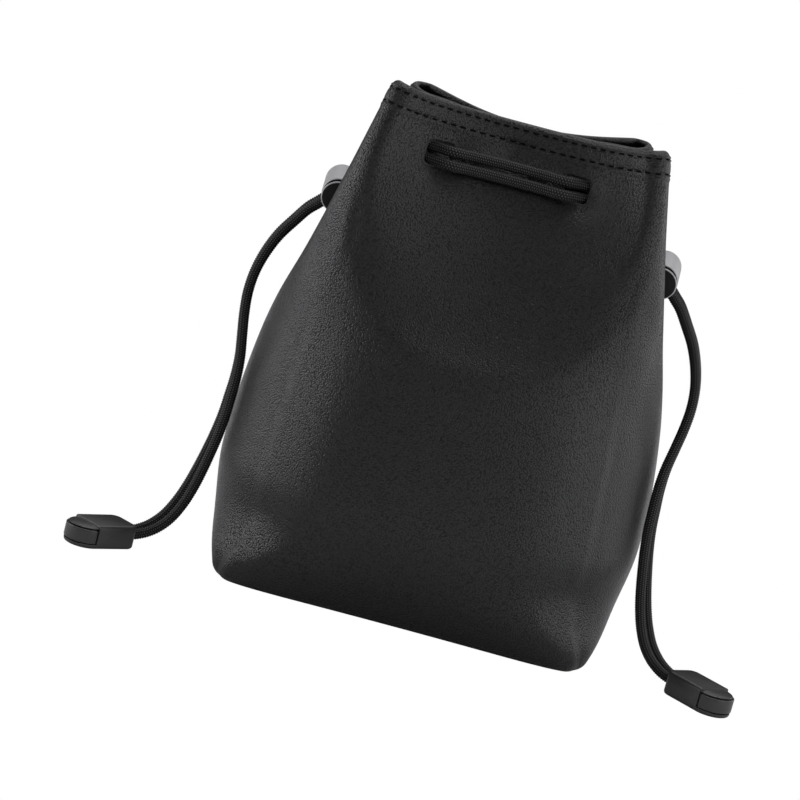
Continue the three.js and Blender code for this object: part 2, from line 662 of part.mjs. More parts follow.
// Helical spring: one round wire, closed at both ends
function springSolid() {
  const stepsPerCurl = 8;
  const sides = 5;
  const steps = Math.round(SPRING_CURLS * stepsPerCurl);
  const bottom = BARREL_FLOOR + GAP + SPRING_WIRE / 2;
  const rise = SPRING_LENGTH - SPRING_WIRE;
  const centres = [];
  for (let i = 0; i <= steps; i += 1) {
    const turn = 2 * Math.PI * i / stepsPerCurl;
    centres.push(new THREE.Vector3(
      SPRING_RADIUS * Math.cos(turn),
      SPRING_RADIUS * Math.sin(turn),
      bottom + rise * i / steps,
    ));
  }
  let least = Infinity;
  centres.forEach((here, i) => centres.slice(i + stepsPerCurl / 2).forEach((there) => {
    least = Math.min(least, here.distanceTo(there) - SPRING_WIRE);
  }));
  console.log(`spring: least gap between curls ${least.toFixed(2)} mm`);
  const places = [];
  const faces = [];
  centres.forEach((centre, i) => {
    const turn = 2 * Math.PI * i / stepsPerCurl;
    const outward = new THREE.Vector3(Math.cos(turn), Math.sin(turn), 0);
    for (let k = 0; k < sides; k += 1) {
      const around = 2 * Math.PI * k / sides;
      const point = centre.clone().addScaledVector(outward, SPRING_WIRE / 2 * Math.cos(around));
      point.z += SPRING_WIRE / 2 * Math.sin(around);
      places.push(point.x, point.y, point.z);
    }
  });
  for (let i = 0; i < steps; i += 1) {
    for (let k = 0; k < sides; k += 1) {
      const next = (k + 1) % sides;
      const [a, b] = [i * sides + k, i * sides + next];
      faces.push(a, b, a + sides, b, b + sides, a + sides);
    }
  }
  for (let k = 1; k < sides - 1; k += 1) {
    faces.push(0, k + 1, k);
    faces.push(steps * sides, steps * sides + k, steps * sides + k + 1);
  }
  const geometry = new THREE.BufferGeometry();
  geometry.setAttribute('position', new THREE.BufferAttribute(Float32Array.from(places), 3));
  geometry.setIndex(faces);
  return solidOf(geometry);
}

function addLock(name, side) {
  const axis = mirrored(LOCK_AXIS, side);
  const heading = mirrored(tailHeading, side);
  const turn = new THREE.Matrix4().makeBasis(heading, axis.clone().cross(heading), axis);
  const lock = new THREE.Group();
  lock.quaternion.setFromRotationMatrix(turn);
  lock.position.copy(mirrored(LOCK_CENTRE, side)).addScaledVector(axis, -pairCentre);
  addPiece(`${name}_lock_barrel`, barrelSolid(), gunmetal, lock);
  addPiece(`${name}_lock_plunger`, plungerSolid(), plastic, lock);
  addPiece(`${name}_lock_spring`, springSolid(), steel, lock);
  pouch.add(lock);
}

// Cord ends: a flat housing with a half-round tip, and a U-shaped clip that slides over the tip and
// shuts the cavity in which the melted bead of both cords sits.

function endOutline(inset) {
  const half = END_WIDTH / 2 - inset;
  const corner = Math.max(END_CORNER - inset, END_LEAST_CORNER);
  const tipCentre = END_LENGTH - END_WIDTH / 2;
  const shape = new THREE.Shape();
  shape.absarc(corner, -half + corner, corner, Math.PI, 1.5 * Math.PI);
  shape.absarc(tipCentre, 0, half, -Math.PI / 2, Math.PI / 2);
  shape.absarc(corner, half - corner, corner, Math.PI / 2, Math.PI);
  return shape;
}

function endSlab(inset, bottom, height) {
  return solidOf(extruded(endOutline(inset), height).translate(0, 0, bottom));
}

function endBlock(fromX, toX, width, bottom, height) {
  const block = new THREE.BoxGeometry(toX - fromX, width, height);
  return solidOf(block.translate((fromX + toX) / 2, 0, bottom + height / 2));
}

const bandBottom = END_MID - BAND_HEIGHT / 2;
const bandStart = END_LENGTH - BAND_LENGTH;
const wayPastTip = END_LENGTH + END_WIDTH;

function housingSolid() {
  const bevel = { bevelEnabled: true, bevelThickness: END_EDGE, bevelSize: END_EDGE, bevelOffset: -END_EDGE };
  const blank = extruded(endOutline(0), END_HEIGHT - 2 * END_EDGE, { ...bevel, bevelSegments: 1 });
  const groove = endBlock(bandStart, wayPastTip, 2 * END_WIDTH, bandBottom - GAP, BAND_HEIGHT + 2 * GAP);
  const core = endSlab(BAND_GROOVE, 0, END_HEIGHT);
  const cavity = endBlock(END_NECK, wayPastTip, CAVITY_WIDTH, END_MID - CAVITY_HEIGHT / 2, CAVITY_HEIGHT);
  const neckHeight = CORD + 2 * GAP;
  const neckShape = roundedBox(PAIR_SPACING + neckHeight, neckHeight, CORD_RADIUS);
  const neck = holeCutter(neckShape, 2 * END_NECK);
  neck.rotateZ(Math.PI / 2).rotateY(Math.PI / 2).translate(-END_NECK / 2, 0, END_MID);
  const step = new THREE.BoxGeometry(END_LENGTH, 2 * END_WIDTH, END_HEIGHT);
  step.translate(END_LENGTH / 2, 0, END_HEIGHT / 2).rotateY(END_STEP_SLOPE);
  step.translate(END_LENGTH - END_STEP_FROM_TIP, 0, END_HEIGHT - END_STEP);
  return solidOf(blank.translate(0, 0, END_EDGE))
    .subtract(groove.subtract(core))
    .subtract(cavity)
    .subtract(solidOf(neck))
    .subtract(solidOf(step));
}

function clipSolid() {
  const core = endSlab(BAND_GROOVE - GAP, 0, END_HEIGHT);
  const band = endSlab(-BAND_PROUD, bandBottom, BAND_HEIGHT).subtract(core);
  const reach = endBlock(bandStart + GAP, wayPastTip, 2 * END_WIDTH, 0, END_HEIGHT);
  const plugHeight = CAVITY_HEIGHT - 2 * GAP;
  const plug = endBlock(END_LENGTH - BAND_GROOVE - PLUG_LENGTH, END_LENGTH - BAND_GROOVE / 2,
    CAVITY_WIDTH - 2 * GAP, END_MID - plugHeight / 2, plugHeight);
  return band.intersect(reach).add(plug);
}

function beadSolid() {
  const bead = new THREE.SphereGeometry(1, 12, 8);
  bead.scale(BEAD_LENGTH / 2, BEAD_WIDTH / 2, BEAD_HEIGHT / 2);
  return solidOf(bead.translate(END_NECK + GAP + BEAD_LENGTH / 2, 0, END_MID));
}

function addEnd(name, side) {
  const heading = mirrored(END_HEADING, side);
  const end = new THREE.Group();
  end.position.copy(mirrored(END_FACE, side));
  end.rotation.z = Math.atan2(heading.y, heading.x);
  addPiece(`${name}_end_housing`, housingSolid(), plastic, end);
  addPiece(`${name}_end_clip`, clipSolid(), plastic, end);
  addPiece(`${name}_end_bead`, beadSolid(), braid, end);
  pouch.add(end);
}

for (const [name, side] of [['left', -1], ['right', 1]]) {
  addTails(name, side);
  addLock(name, side);
  addEnd(name, side);
}

export default pouch;
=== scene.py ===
import math

import bmesh
import bpy
import numpy as np
from mathutils import Matrix, Vector


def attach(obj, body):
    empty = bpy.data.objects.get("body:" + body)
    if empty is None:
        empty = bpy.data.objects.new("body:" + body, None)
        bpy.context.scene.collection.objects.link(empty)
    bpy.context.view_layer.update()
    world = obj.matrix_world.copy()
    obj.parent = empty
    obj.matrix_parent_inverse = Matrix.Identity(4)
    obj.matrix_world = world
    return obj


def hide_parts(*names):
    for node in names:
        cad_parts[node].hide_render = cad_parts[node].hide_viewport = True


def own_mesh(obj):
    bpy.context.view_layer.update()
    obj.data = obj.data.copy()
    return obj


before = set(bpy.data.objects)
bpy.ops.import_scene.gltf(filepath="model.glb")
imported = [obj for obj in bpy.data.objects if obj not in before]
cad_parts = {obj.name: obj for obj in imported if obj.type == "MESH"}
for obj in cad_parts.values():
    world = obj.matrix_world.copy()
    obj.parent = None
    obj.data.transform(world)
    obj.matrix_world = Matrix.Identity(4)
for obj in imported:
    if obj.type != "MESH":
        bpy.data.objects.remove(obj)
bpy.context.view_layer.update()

# Camera
# A long lens in front of the pouch and a little above it, rolled so that the pouch leans to the
# right in the picture. It aims beside the pouch, so that the pouch sits right of the middle.
PHOTO_SIZE = 800
FOCAL_PIXELS = 2901
SENSOR_WIDTH = 36
CAMERA_ROLL = math.radians(15)
camera_place = Vector((0, -1.0, 0.26))
pouch_middle = Vector((0, 0, 0.088))
POUCH_PIXEL_X = 465.4
POUCH_PIXEL_Y = 364.7

straight_look = (pouch_middle - camera_place).normalized()
level_right = Vector((1, 0, 0))
level_up = level_right.cross(straight_look)
rolled_right = level_right * math.cos(CAMERA_ROLL) + level_up * math.sin(CAMERA_ROLL)
rolled_up = level_up * math.cos(CAMERA_ROLL) - level_right * math.sin(CAMERA_ROLL)
look = straight_look * FOCAL_PIXELS
look -= rolled_right * (POUCH_PIXEL_X - PHOTO_SIZE / 2)
look += rolled_up * (POUCH_PIXEL_Y - PHOTO_SIZE / 2)
look.normalize()
picture_right = (rolled_right - look * rolled_right.dot(look)).normalized()
picture_up = picture_right.cross(look)
camera = bpy.data.objects.new("camera", bpy.data.cameras.new("camera"))
camera.data.sensor_width = SENSOR_WIDTH
camera.data.lens = SENSOR_WIDTH * FOCAL_PIXELS / PHOTO_SIZE
picture_turn = Matrix((picture_right, picture_up, -look)).transposed()
camera.matrix_world = Matrix.Translation(camera_place) @ picture_turn.to_4x4()
bpy.context.collection.objects.link(camera)
bpy.context.scene.camera = camera

# Leather walls
# Two panels of soft black synthetic leather, a front and a back, sewn together down the sides and
# turned under the base. The drawn cords gather the top into four rolled folds, and the rim is a
# turned hem with slots through which the cords run.
MM = 0.001
BAG_HEIGHT = 180.0
LEATHER = 1.4
LINING = 1.0
GAP = 0.3
WALL = LEATHER + GAP + LINING
BASE_EDGE_RADIUS = 3.0

# Level, width, depth and squareness of the bag, from the base up to the rim
STATIONS = np.array([
    (0, 133, 80, 8),
    (16, 143.5, 101, 3.2),
    (42, 151, 117, 2.35),
    (84, 143.5, 111, 2.35),
    (118, 126, 94, 3),
    (150, 109.5, 74, 3.6),
    (BAG_HEIGHT, 97, 54, 4),
])
WIDTH, DEPTH, SQUARENESS = 1, 2, 3

# Folds at the mouth: rolled corners, with the front and back dipped and the sides tucked between
ROLL_RADIUS = 5.5
ROLL_TO_FRONT = math.radians(-130)
ROLL_TO_SIDE = math.radians(50)
ROLL_SHARE = 0.28
DIP_DEPTH = 13.0
DIP_START = 98.0
DIP_EASE = 0.45
TUCK_DEPTH = 21.0
TUCK_START = 88.0
TUCK_EASE = 0.4
ROLL_START = 123.0
FOLDS_FULL = 172.0
BACK_TAPER = 0.115
TAPER_START = 100.0
RIM_DROP_START = 140.0
FRONT_RIM_DROP = 4.0
FRONT_DROP_EASE = 1.5
BACK_RIM_DROP = 6.6
BACK_DROP_EASE = 4.0
BACK_CORNER_DROP = 2.4
SIDE_RIM_DROP = 5.0
SIDE_DROP_REACH = 0.5


def smooth(value, low, high):
    """0 below low, 1 above high, and an eased ramp between them."""
    t = np.clip((value - low) / (high - low), 0, 1)
    return t * t * (3 - 2 * t)


def at_level(column, level):
    """Width, depth or squareness at each level, on a smooth curve through the stations."""
    levels = STATIONS[:, 0]
    values = STATIONS[:, column]
    last = len(levels) - 1
    after = np.minimum(np.arange(last + 1) + 1, last)
    before = np.maximum(np.arange(last + 1) - 1, 0)
    slopes = (values[after] - values[before]) / (levels[after] - levels[before])
    i = np.clip(np.searchsorted(levels, level) - 1, 0, last - 1)
    span = levels[i + 1] - levels[i]
    t = (level - levels[i]) / span
    rise = t * t * (3 - 2 * t)
    bend = slopes[i] * t * (1 - t) ** 2 - slopes[i + 1] * t * t * (1 - t)
    return values[i] + (values[i + 1] - values[i]) * rise + span * bend


def bezier(a, b, c, d, t):
    """Point at t on a cubic curve with these four controls."""
    return a * (1 - t) ** 3 + 3 * b * t * (1 - t) ** 2 + 3 * c * t * t * (1 - t) + d * t ** 3


def drawn_mouth(u, half_width, half_depth):
    """Quarter outline of the mouth: front middle (u 0), rolled corner (u 1), side middle (u 2)."""
    run = 1 - ROLL_SHARE
    handle = ROLL_RADIUS * (ROLL_TO_SIDE - ROLL_TO_FRONT) / (2 * ROLL_SHARE) * run / 3
    turn = ROLL_TO_FRONT + (ROLL_TO_SIDE - ROLL_TO_FRONT) * np.clip((u - run) / (2 * ROLL_SHARE), 0, 1)
    roll_x = half_width - ROLL_RADIUS + ROLL_RADIUS * np.cos(turn)
    roll_y = ROLL_RADIUS - half_depth + ROLL_RADIUS * np.sin(turn)
    start_x = half_width - ROLL_RADIUS + ROLL_RADIUS * math.cos(ROLL_TO_FRONT)
    start_y = ROLL_RADIUS - half_depth + ROLL_RADIUS * math.sin(ROLL_TO_FRONT)
    dip_y = DIP_DEPTH - half_depth
    t = np.clip(u / run, 0, 1)
    flat = DIP_EASE * np.hypot(start_x, start_y - dip_y)
    front_x = bezier(0, flat, start_x + handle * math.sin(ROLL_TO_FRONT), start_x, t)
    front_y = bezier(dip_y, dip_y, start_y - handle * math.cos(ROLL_TO_FRONT), start_y, t)
    end_x = half_width - ROLL_RADIUS + ROLL_RADIUS * math.cos(ROLL_TO_SIDE)
    end_y = ROLL_RADIUS - half_depth + ROLL_RADIUS * math.sin(ROLL_TO_SIDE)
    tuck_x = half_width - TUCK_DEPTH
    t = np.clip((u - 2 + run) / run, 0, 1)
    straight = TUCK_EASE * np.hypot(end_x - tuck_x, end_y)
    side_x = bezier(end_x, end_x - handle * math.sin(ROLL_TO_SIDE), tuck_x, tuck_x, t)
    side_y = bezier(end_y, end_y + handle * math.cos(ROLL_TO_SIDE), -straight, 0, t)
    x = np.where(u < run, front_x, np.where(u > 2 - run, side_x, roll_x))
    y = np.where(u < run, front_y, np.where(u > 2 - run, side_y, roll_y))
    return x, y


def folded_outline(s, level):
    """Outline of the front half before it is scaled to its width and depth: s runs from -2, the
    middle of the left side, over -1, 0 and 1 on the front to 2, the middle of the right side."""
    u = np.abs(s)
    half_width = at_level(WIDTH, level) / 2
    half_depth = at_level(DEPTH, level) / 2
    square = at_level(SQUARENESS, level)
    across = np.minimum(u, 1)
    along = np.minimum(2 - u, 1)
    reach = (across ** square + along ** square) ** (1 / square)
    early = np.where(u <= 1, DIP_START, TUCK_START)
    start = early + (ROLL_START - early) * (1 - np.cos(np.pi * u)) / 2
    share = smooth(level, start, FOLDS_FULL)
    mouth_x, mouth_y = drawn_mouth(u, half_width, half_depth)
    x = across * half_width / reach * (1 - share) + mouth_x * share
    y = -along * half_depth / reach * (1 - share) + mouth_y * share
    return np.sign(s) * x, y


SCALE_STEPS = 361
OUTLINE_STEPS = 161
scale_levels = np.linspace(0, BAG_HEIGHT, SCALE_STEPS)
widest = np.empty(SCALE_STEPS)
deepest = np.empty(SCALE_STEPS)
whole_front = np.linspace(-2, 2, OUTLINE_STEPS)
for k, scale_level in enumerate(scale_levels):
    outline_x, outline_y = folded_outline(whole_front, np.full(OUTLINE_STEPS, scale_level))
    widest[k] = at_level(WIDTH, scale_level) / 2 / np.abs(outline_x).max()
    deepest[k] = at_level(DEPTH, scale_level) / 2 / np.abs(outline_y).max()


def outline(s, level, front):
    """Outer outline of the front or back half at these levels, in millimetres."""
    x, y = folded_outline(np.clip(s, -2, 2), level)
    x = x * np.interp(level, scale_levels, widest)
    y = y * np.interp(level, scale_levels, deepest)
    if not front:
        x, y = -x, -y
    backward = (1 + 2 * y / at_level(DEPTH, level)) / 2
    return x * (1 - BACK_TAPER * smooth(level, TAPER_START, BAG_HEIGHT) * backward), y


def rim_drop(s, level, front):
    """How far the rim hangs below the front corners: least at the corners, more between them."""
    drop, ease = (FRONT_RIM_DROP, FRONT_DROP_EASE) if front else (BACK_RIM_DROP, BACK_DROP_EASE)
    corner = 0 if front else BACK_CORNER_DROP
    middle = np.clip(1 - s ** 2, 0, 1) ** ease
    tucked = smooth(np.abs(s) - 1, 0, SIDE_DROP_REACH)
    rim = corner + np.where(np.abs(s) < 1, (drop - corner) * middle, (SIDE_RIM_DROP - corner) * tucked)
    return rim * smooth(level, RIM_DROP_START, BAG_HEIGHT)


# Scoop below the mouth: drawing the cords presses the front and back in, inside a U-shaped line
SCOOP_HALF_WIDTH = 51.0
SCOOP_DROP = 43.0
SCOOP_LEVEL = 137.0
SCOOP_NARROWING = 0.29
SCOOP_SLOPE = 0.62
SCOOP_REACH = 13.0
SCOOP_ROUND = 3.0
SCOOP_FADE = (122.0, 157.0)
SCOOP_SIDES = (0.85, 1.0)


def scoop(s, x, level):
    """How far a wall is pressed in inside the U, which hangs from the rolled corners."""
    high = np.maximum(level - SCOOP_LEVEL, 0)
    low = np.maximum(SCOOP_LEVEL - level, 0)
    share = np.hypot(x / (SCOOP_HALF_WIDTH - SCOOP_NARROWING * high), low / SCOOP_DROP)
    inside = (1 - share) * (SCOOP_HALF_WIDTH + SCOOP_DROP) / 2
    ramp = (inside + np.hypot(inside, SCOOP_ROUND)) / 2
    depth = SCOOP_SLOPE * SCOOP_REACH * (1 - np.exp(-ramp / SCOOP_REACH))
    return depth * (1 - smooth(level, *SCOOP_FADE)) * (1 - smooth(np.abs(s), *SCOOP_SIDES))


SLOPE_STEP = 0.01


def wall(s, level, inset, front):
    """Points of a wall, inset from the bare outer face, as an array of x, y, z in millimetres."""
    s, level, inset = np.broadcast_arrays(*(np.asarray(v, float) for v in (s, level, inset)))
    x, y = outline(s, level, front)
    ahead_x, ahead_y = outline(s + SLOPE_STEP, level, front)
    behind_x, behind_y = outline(s - SLOPE_STEP, level, front)
    inward_x = behind_y - ahead_y
    inward_y = ahead_x - behind_x
    size = np.hypot(inward_x, inward_y)
    low = np.clip(BASE_EDGE_RADIUS - level, 0, BASE_EDGE_RADIUS)
    depth = inset + BASE_EDGE_RADIUS - np.sqrt(BASE_EDGE_RADIUS ** 2 - low ** 2) + scoop(s, x, level)
    z = level - rim_drop(np.clip(s, -2, 2), level, front)
    return np.stack([x + inward_x / size * depth, y + inward_y / size * depth, z], axis=-1)


# Openings for the cords: two slots in the front and back, two holes in each side
SLOT_SPACING = 48.0
SLOT_SHIFT = -3.0
SLOT_LEVEL = 159.2
SLOT_SIZE = (9.4, 9.0)
SLOT_CORNER = 1.5
SIDE_HOLE_Y = 5.2
SIDE_HOLE_LEVEL = 158.2
SIDE_HOLE_SIZE = (7.6, 10.0)
SIDE_HOLE_CORNER = 2.0
SIDE_HOLE_START = 1.4


def slot_x(side):
    """Middle of the slot on the left (-1) or right (1)."""
    return SLOT_SHIFT + side * SLOT_SPACING / 2


def facing_slot(side):
    """Places points in the front view, about the middle of a slot."""
    return lambda points: np.stack([points[..., 0] - slot_x(side), points[..., 2] - SLOT_LEVEL], axis=-1)


def facing_side_hole(front):
    """Places points in the side view, about the middle of a side hole."""
    y = -SIDE_HOLE_Y if front else SIDE_HOLE_Y
    return lambda points: np.stack([points[..., 1] - y, points[..., 2] - SIDE_HOLE_LEVEL], axis=-1)


def openings_of(front, slot_size):
    """Each opening of a panel: its flat view, size, corner radius, and the stretch of s it lies in."""
    found = []
    for side in (-1, 1):
        half = side if front else -side
        found.append((facing_slot(side), slot_size, SLOT_CORNER, (-1, 1)))
        reach = (SIDE_HOLE_START, 2) if half > 0 else (-2, -SIDE_HOLE_START)
        found.append((facing_side_hole(front), SIDE_HOLE_SIZE, SIDE_HOLE_CORNER, reach))
    return found


def from_rounded_box(spots, size, corner):
    """Distance of flat spots outside a rounded box, and the direction away from it."""
    over = np.abs(spots) - (np.array(size) / 2 - corner)
    outer = np.maximum(over, 0)
    length = np.linalg.norm(outer, axis=-1)
    distance = length + np.minimum(over.max(axis=-1), 0) - corner
    sideways = over[..., 0] > over[..., 1]
    nearest_side = np.stack([sideways, ~sideways], axis=-1).astype(float)
    away = np.where(length[..., None] > 1e-9, outer / np.maximum(length, 1e-9)[..., None], nearest_side)
    return distance, away * np.where(spots < 0, -1, 1)


SEARCH_STEPS = 8


def found_on_wall(target, s, level, inset, view, front):
    """s and level of the wall points that show at the target in a flat view."""
    step = 1e-3
    for _ in range(SEARCH_STEPS):
        here = view(wall(s, level, inset, front))
        by_s = (view(wall(s + step, level, inset, front)) - here) / step
        by_level = (view(wall(s, level + step, inset, front)) - here) / step
        miss = target - here
        area = by_s[..., 0] * by_level[..., 1] - by_s[..., 1] * by_level[..., 0]
        s = s + (miss[..., 0] * by_level[..., 1] - miss[..., 1] * by_level[..., 0]) / area
        level = level + (by_s[..., 0] * miss[..., 1] - by_s[..., 1] * miss[..., 0]) / area
    return s, level


def mesh_object(name, places, faces, material):
    """A smooth mesh object from places in millimetres, without unused places, facing outwards."""
    mesh = bpy.data.meshes.new(name)
    mesh.from_pydata((np.asarray(places) * MM).tolist(), [], [list(map(int, face)) for face in faces])
    made = bmesh.new()
    made.from_mesh(mesh)
    bmesh.ops.delete(made, geom=[v for v in made.verts if not v.link_faces], context="VERTS")
    bmesh.ops.recalc_face_normals(made, faces=made.faces)
    made.to_mesh(mesh)
    made.free()
    mesh.polygons.foreach_set("use_smooth", [True] * len(mesh.polygons))
    mesh.materials.append(material)
    piece = bpy.data.objects.new(name, mesh)
    bpy.context.collection.objects.link(piece)
    return piece


ROUND_STEPS = 6


def cells_inside(flat, columns, opening, edge_round):
    """Row and column of each cell that an opening with its rounded edge takes out of a wall's grid."""
    _, size, corner, (s_low, s_high) = opening
    centres = (flat[:-1, :-1] + flat[1:, :-1] + flat[:-1, 1:] + flat[1:, 1:]) / 4
    distance, _ = from_rounded_box(centres, size, corner)
    s_middle = (columns[:-1] + columns[1:]) / 2
    inside = (distance < edge_round) & (s_middle > s_low) & (s_middle < s_high)
    return set(zip(*(index.tolist() for index in np.nonzero(inside))))


def border_edges(cells):
    """Pairs of grid corners on the border of some cells."""
    edges = []
    for i, j in cells:
        for neighbour, a, b in (
            ((i - 1, j), (i, j), (i, j + 1)),
            ((i + 1, j), (i + 1, j), (i + 1, j + 1)),
            ((i, j - 1), (i, j), (i + 1, j)),
            ((i, j + 1), (i, j + 1), (i + 1, j + 1)),
        ):
            if neighbour not in cells:
                edges.append((a, b))
    return edges


def rounded_rings(spots, s, level, opening, edge_round, outer_inset, inner_inset, front):
    """Rings of points round an opening, from the outer skin over its rounded edge to the inner skin."""
    view, size, corner, _ = opening
    distance, away = from_rounded_box(spots, size, corner)
    on_line = spots - away * distance[:, None]
    rings = []
    for k in range(ROUND_STEPS + 1):
        turn = math.pi * k / ROUND_STEPS
        through = (1 - math.cos(turn)) / 2
        target = on_line + away * edge_round * (1 - math.sin(turn))
        depth = outer_inset(s, level) * (1 - through) + inner_inset(s, level) * through
        s, level = found_on_wall(target, s, level, depth, view, front)
        rings.append(wall(s, level, depth, front))
    return rings


def wall_shell(name, front, columns, outer_levels, inner_levels, lip, outer_inset, inner_inset, slot_size,
               to_seam, material):
    """Closed shell of one wall layer. The lip is a list of levels and insets from the outer skin
    over the top to the inner skin, the openings get rounded edges from skin to skin, and the side
    edges stop at a distance from the middle of the seam, or lap over it."""
    outer_count = len(outer_levels)
    inner_start = outer_count + len(lip)
    levels = np.concatenate([outer_levels, [level for level, _ in lip], inner_levels])
    rows = len(levels)
    count = len(columns)
    s_grid = np.broadcast_to(columns, (rows, count)).copy()
    level_grid = np.broadcast_to(levels[:, None], (rows, count)).copy()
    inset_grid = np.empty((rows, count))
    inset_grid[:outer_count] = outer_inset(s_grid[:outer_count], level_grid[:outer_count])
    for k, (_, lip_inset) in enumerate(lip):
        inset_grid[outer_count + k] = lip_inset
    inset_grid[inner_start:] = inner_inset(s_grid[inner_start:], level_grid[inner_start:])
    places = wall(s_grid, level_grid, inset_grid, front)
    places[:, [0, -1], 1] = -to_seam if front else to_seam
    inner_rows = {float(level): inner_start + k for k, level in enumerate(inner_levels)}
    edge_round = (inner_inset(0.0, SLOT_LEVEL) - outer_inset(0.0, SLOT_LEVEL)) / 2
    extra = []
    faces = []
    removed = set()
    for opening in openings_of(front, slot_size):
        view = opening[0]
        flat = view(places[:outer_count])
        cells = cells_inside(flat, columns, opening, edge_round)
        removed |= cells
        removed |= {(inner_rows[levels[i + 1]], j) for i, j in cells}
        edges = border_edges(cells)
        corners = sorted({spot for edge in edges for spot in edge})
        at = tuple(np.array(corners).T)
        rings = rounded_rings(flat[at], s_grid[at], level_grid[at], opening, edge_round,
                              outer_inset, inner_inset, front)
        first_free = rows * count + sum(len(ring) for ring in extra)
        ids = np.empty((ROUND_STEPS + 1, len(corners)), int)
        ids[0] = at[0] * count + at[1]
        ids[-1] = [inner_rows[levels[i]] * count + j for i, j in corners]
        places.reshape(-1, 3)[ids[0]] = rings[0]
        places.reshape(-1, 3)[ids[-1]] = rings[-1]
        for k in range(1, ROUND_STEPS):
            ids[k] = first_free + (k - 1) * len(corners) + np.arange(len(corners))
            extra.append(rings[k])
        order = {spot: k for k, spot in enumerate(corners)}
        for a, b in edges:
            for here, after in zip(ids[:-1], ids[1:]):
                faces.append((here[order[a]], here[order[b]], after[order[b]], after[order[a]]))
    for i in range(rows):
        above = (i + 1) % rows
        for j in range(count - 1):
            if (i, j) not in removed:
                faces.append((i * count + j, i * count + j + 1, above * count + j + 1, above * count + j))
    faces.append([i * count for i in range(rows)])
    faces.append([i * count + count - 1 for i in range(rows)][::-1])
    return mesh_object(name, np.concatenate([places.reshape(-1, 3), *extra]), faces, material)


class Finish:
    """A material put together from procedural nodes, laid out in the object's own metres."""

    def __init__(self, name):
        self.material = bpy.data.materials.new(name)
        self.material.use_nodes = True
        self.place = self.add("ShaderNodeTexCoord", "Object")

    def set_inputs(self, node, inputs):
        """Links each input to a socket, or sets it to a value."""
        for key, value in inputs.items():
            if isinstance(value, bpy.types.NodeSocket):
                self.material.node_tree.links.new(value, node.inputs[key])
            else:
                node.inputs[key].default_value = value

    def add(self, kind, output, inputs=None, **settings):
        """Adds a node and gives one of its outputs."""
        node = self.material.node_tree.nodes.new(kind)
        for key, value in settings.items():
            setattr(node, key, value)
        self.set_inputs(node, inputs or {})
        return node.outputs[output]

    def noise(self, per_metre, detail):
        """Soft unevenness of so many patches in a metre."""
        inputs = {"Vector": self.place, "Scale": per_metre, "Detail": detail}
        return self.add("ShaderNodeTexNoise", "Fac", inputs)

    def maths(self, operation, a, b):
        """Two values worked into one."""
        return self.add("ShaderNodeMath", "Value", {0: a, 1: b}, operation=operation)

    def spread(self, value, low, high):
        """A value from 0 to 1, laid out between low and high."""
        return self.add("ShaderNodeMapRange", "Result", {"Value": value, "To Min": low, "To Max": high})

    def between(self, share, low, high):
        """Colour between two others."""
        return self.add("ShaderNodeMix", 2, {"Factor": share, 6: low, 7: high}, data_type="RGBA")

    def bump(self, height, strength, distance):
        """Fine relief of a face."""
        inputs = {"Height": height, "Strength": strength, "Distance": distance}
        return self.add("ShaderNodeBump", "Normal", inputs)

    def shade(self, inputs):
        """Sets the shader and gives the finished material."""
        self.set_inputs(self.material.node_tree.nodes["Principled BSDF"], inputs)
        return self.material


COOLNESS = 1.03


def grey(value):
    """A neutral linear colour, very slightly cool."""
    return (value, value, value * COOLNESS, 1.0)


# Pebble grain: small domes of uneven size with finer wrinkles over them. Painted shade darkens the
# hollows and dims their gleam, and the tops of the domes carry a painted highlight.
PEBBLES_PER_METRE = 1750.0
PEBBLE_HEIGHT = 0.00022
WRINKLES_PER_METRE = 2100.0
WRINKLE_SHARE = 0.15
PAINTED_SHADE_HEIGHT = -0.4
PAINTED_HIGHLIGHT_HEIGHT = 0.1


def leather_finish():
    """Black synthetic leather with a satin gleam."""
    finish = Finish("black_leather")
    spacing = {"Vector": finish.place, "Scale": PEBBLES_PER_METRE}
    from_middle = finish.add("ShaderNodeTexVoronoi", "Distance", spacing, feature="F1")
    wrinkle = finish.noise(WRINKLES_PER_METRE, 2.0)
    height = finish.maths("SUBTRACT", finish.maths("MULTIPLY", wrinkle, WRINKLE_SHARE),
                          finish.maths("POWER", from_middle, 2.0))
    reach = {"Value": height, "From Min": PAINTED_SHADE_HEIGHT, "From Max": PAINTED_HIGHLIGHT_HEIGHT}
    top = finish.add("ShaderNodeMapRange", "Result", reach)
    # Painted shade in the hollows and a painted highlight on the dome tops, in the colour and in the
    # specular tint
    return finish.shade({
        "Base Color": finish.between(top, grey(0.003), grey(0.009)),
        "Specular Tint": finish.between(top, grey(0.55), grey(1.0)),
        "Specular IOR Level": 0.76,
        "Roughness": finish.spread(wrinkle, 0.32, 0.28),
        "Normal": finish.bump(height, 1.0, PEBBLE_HEIGHT),
    })


black_leather = leather_finish()

# Hem at the rim with the grooves of its two rows of stitches, and the soft relief of the leather: sunk
# slots and seams, folds up from the base corners, a pucker below the rim and slow waves
HEM_HEIGHT = 9.2
HEM_STEP = (HEM_HEIGHT - 1.0, HEM_HEIGHT + 0.6)
HEM_RISE = 0.35
STITCH_ROWS = (2.4, 7.2)
STITCH_PITCH = 3.5
STITCH_SINK = 0.3
STITCH_GROOVE = 0.8
RIM_STEPS = 801
SLOT_SINK = 1.1
SLOT_SINK_REACH = 4.2
CREASE_LINE = ((65.0, 1.0), (44.0, 18.6))
CREASE_RISE = 1.7
CREASE_REACH = 7.0
CREASE_ROUND = 1.2
CREASE_FADE = (14.0, 30.0)
PANEL_EDGE = ((44.0, 18.6), (39.0, 34.0), (38.0, 92.0))
PANEL_EDGE_RISE = 2.0
PANEL_EDGE_REACH = 11.0
PANEL_EDGE_ROUND = 8.0
PANEL_EDGE_FADE = (66.0, 112.0)
DENT_SPOT = (57.0, 28.0)
DENT_REACH = (7.0, 4.0)
DENT_SINK = 0.6
PUCKER_REACH = 5.0
PUCKER_SINK = 0.9
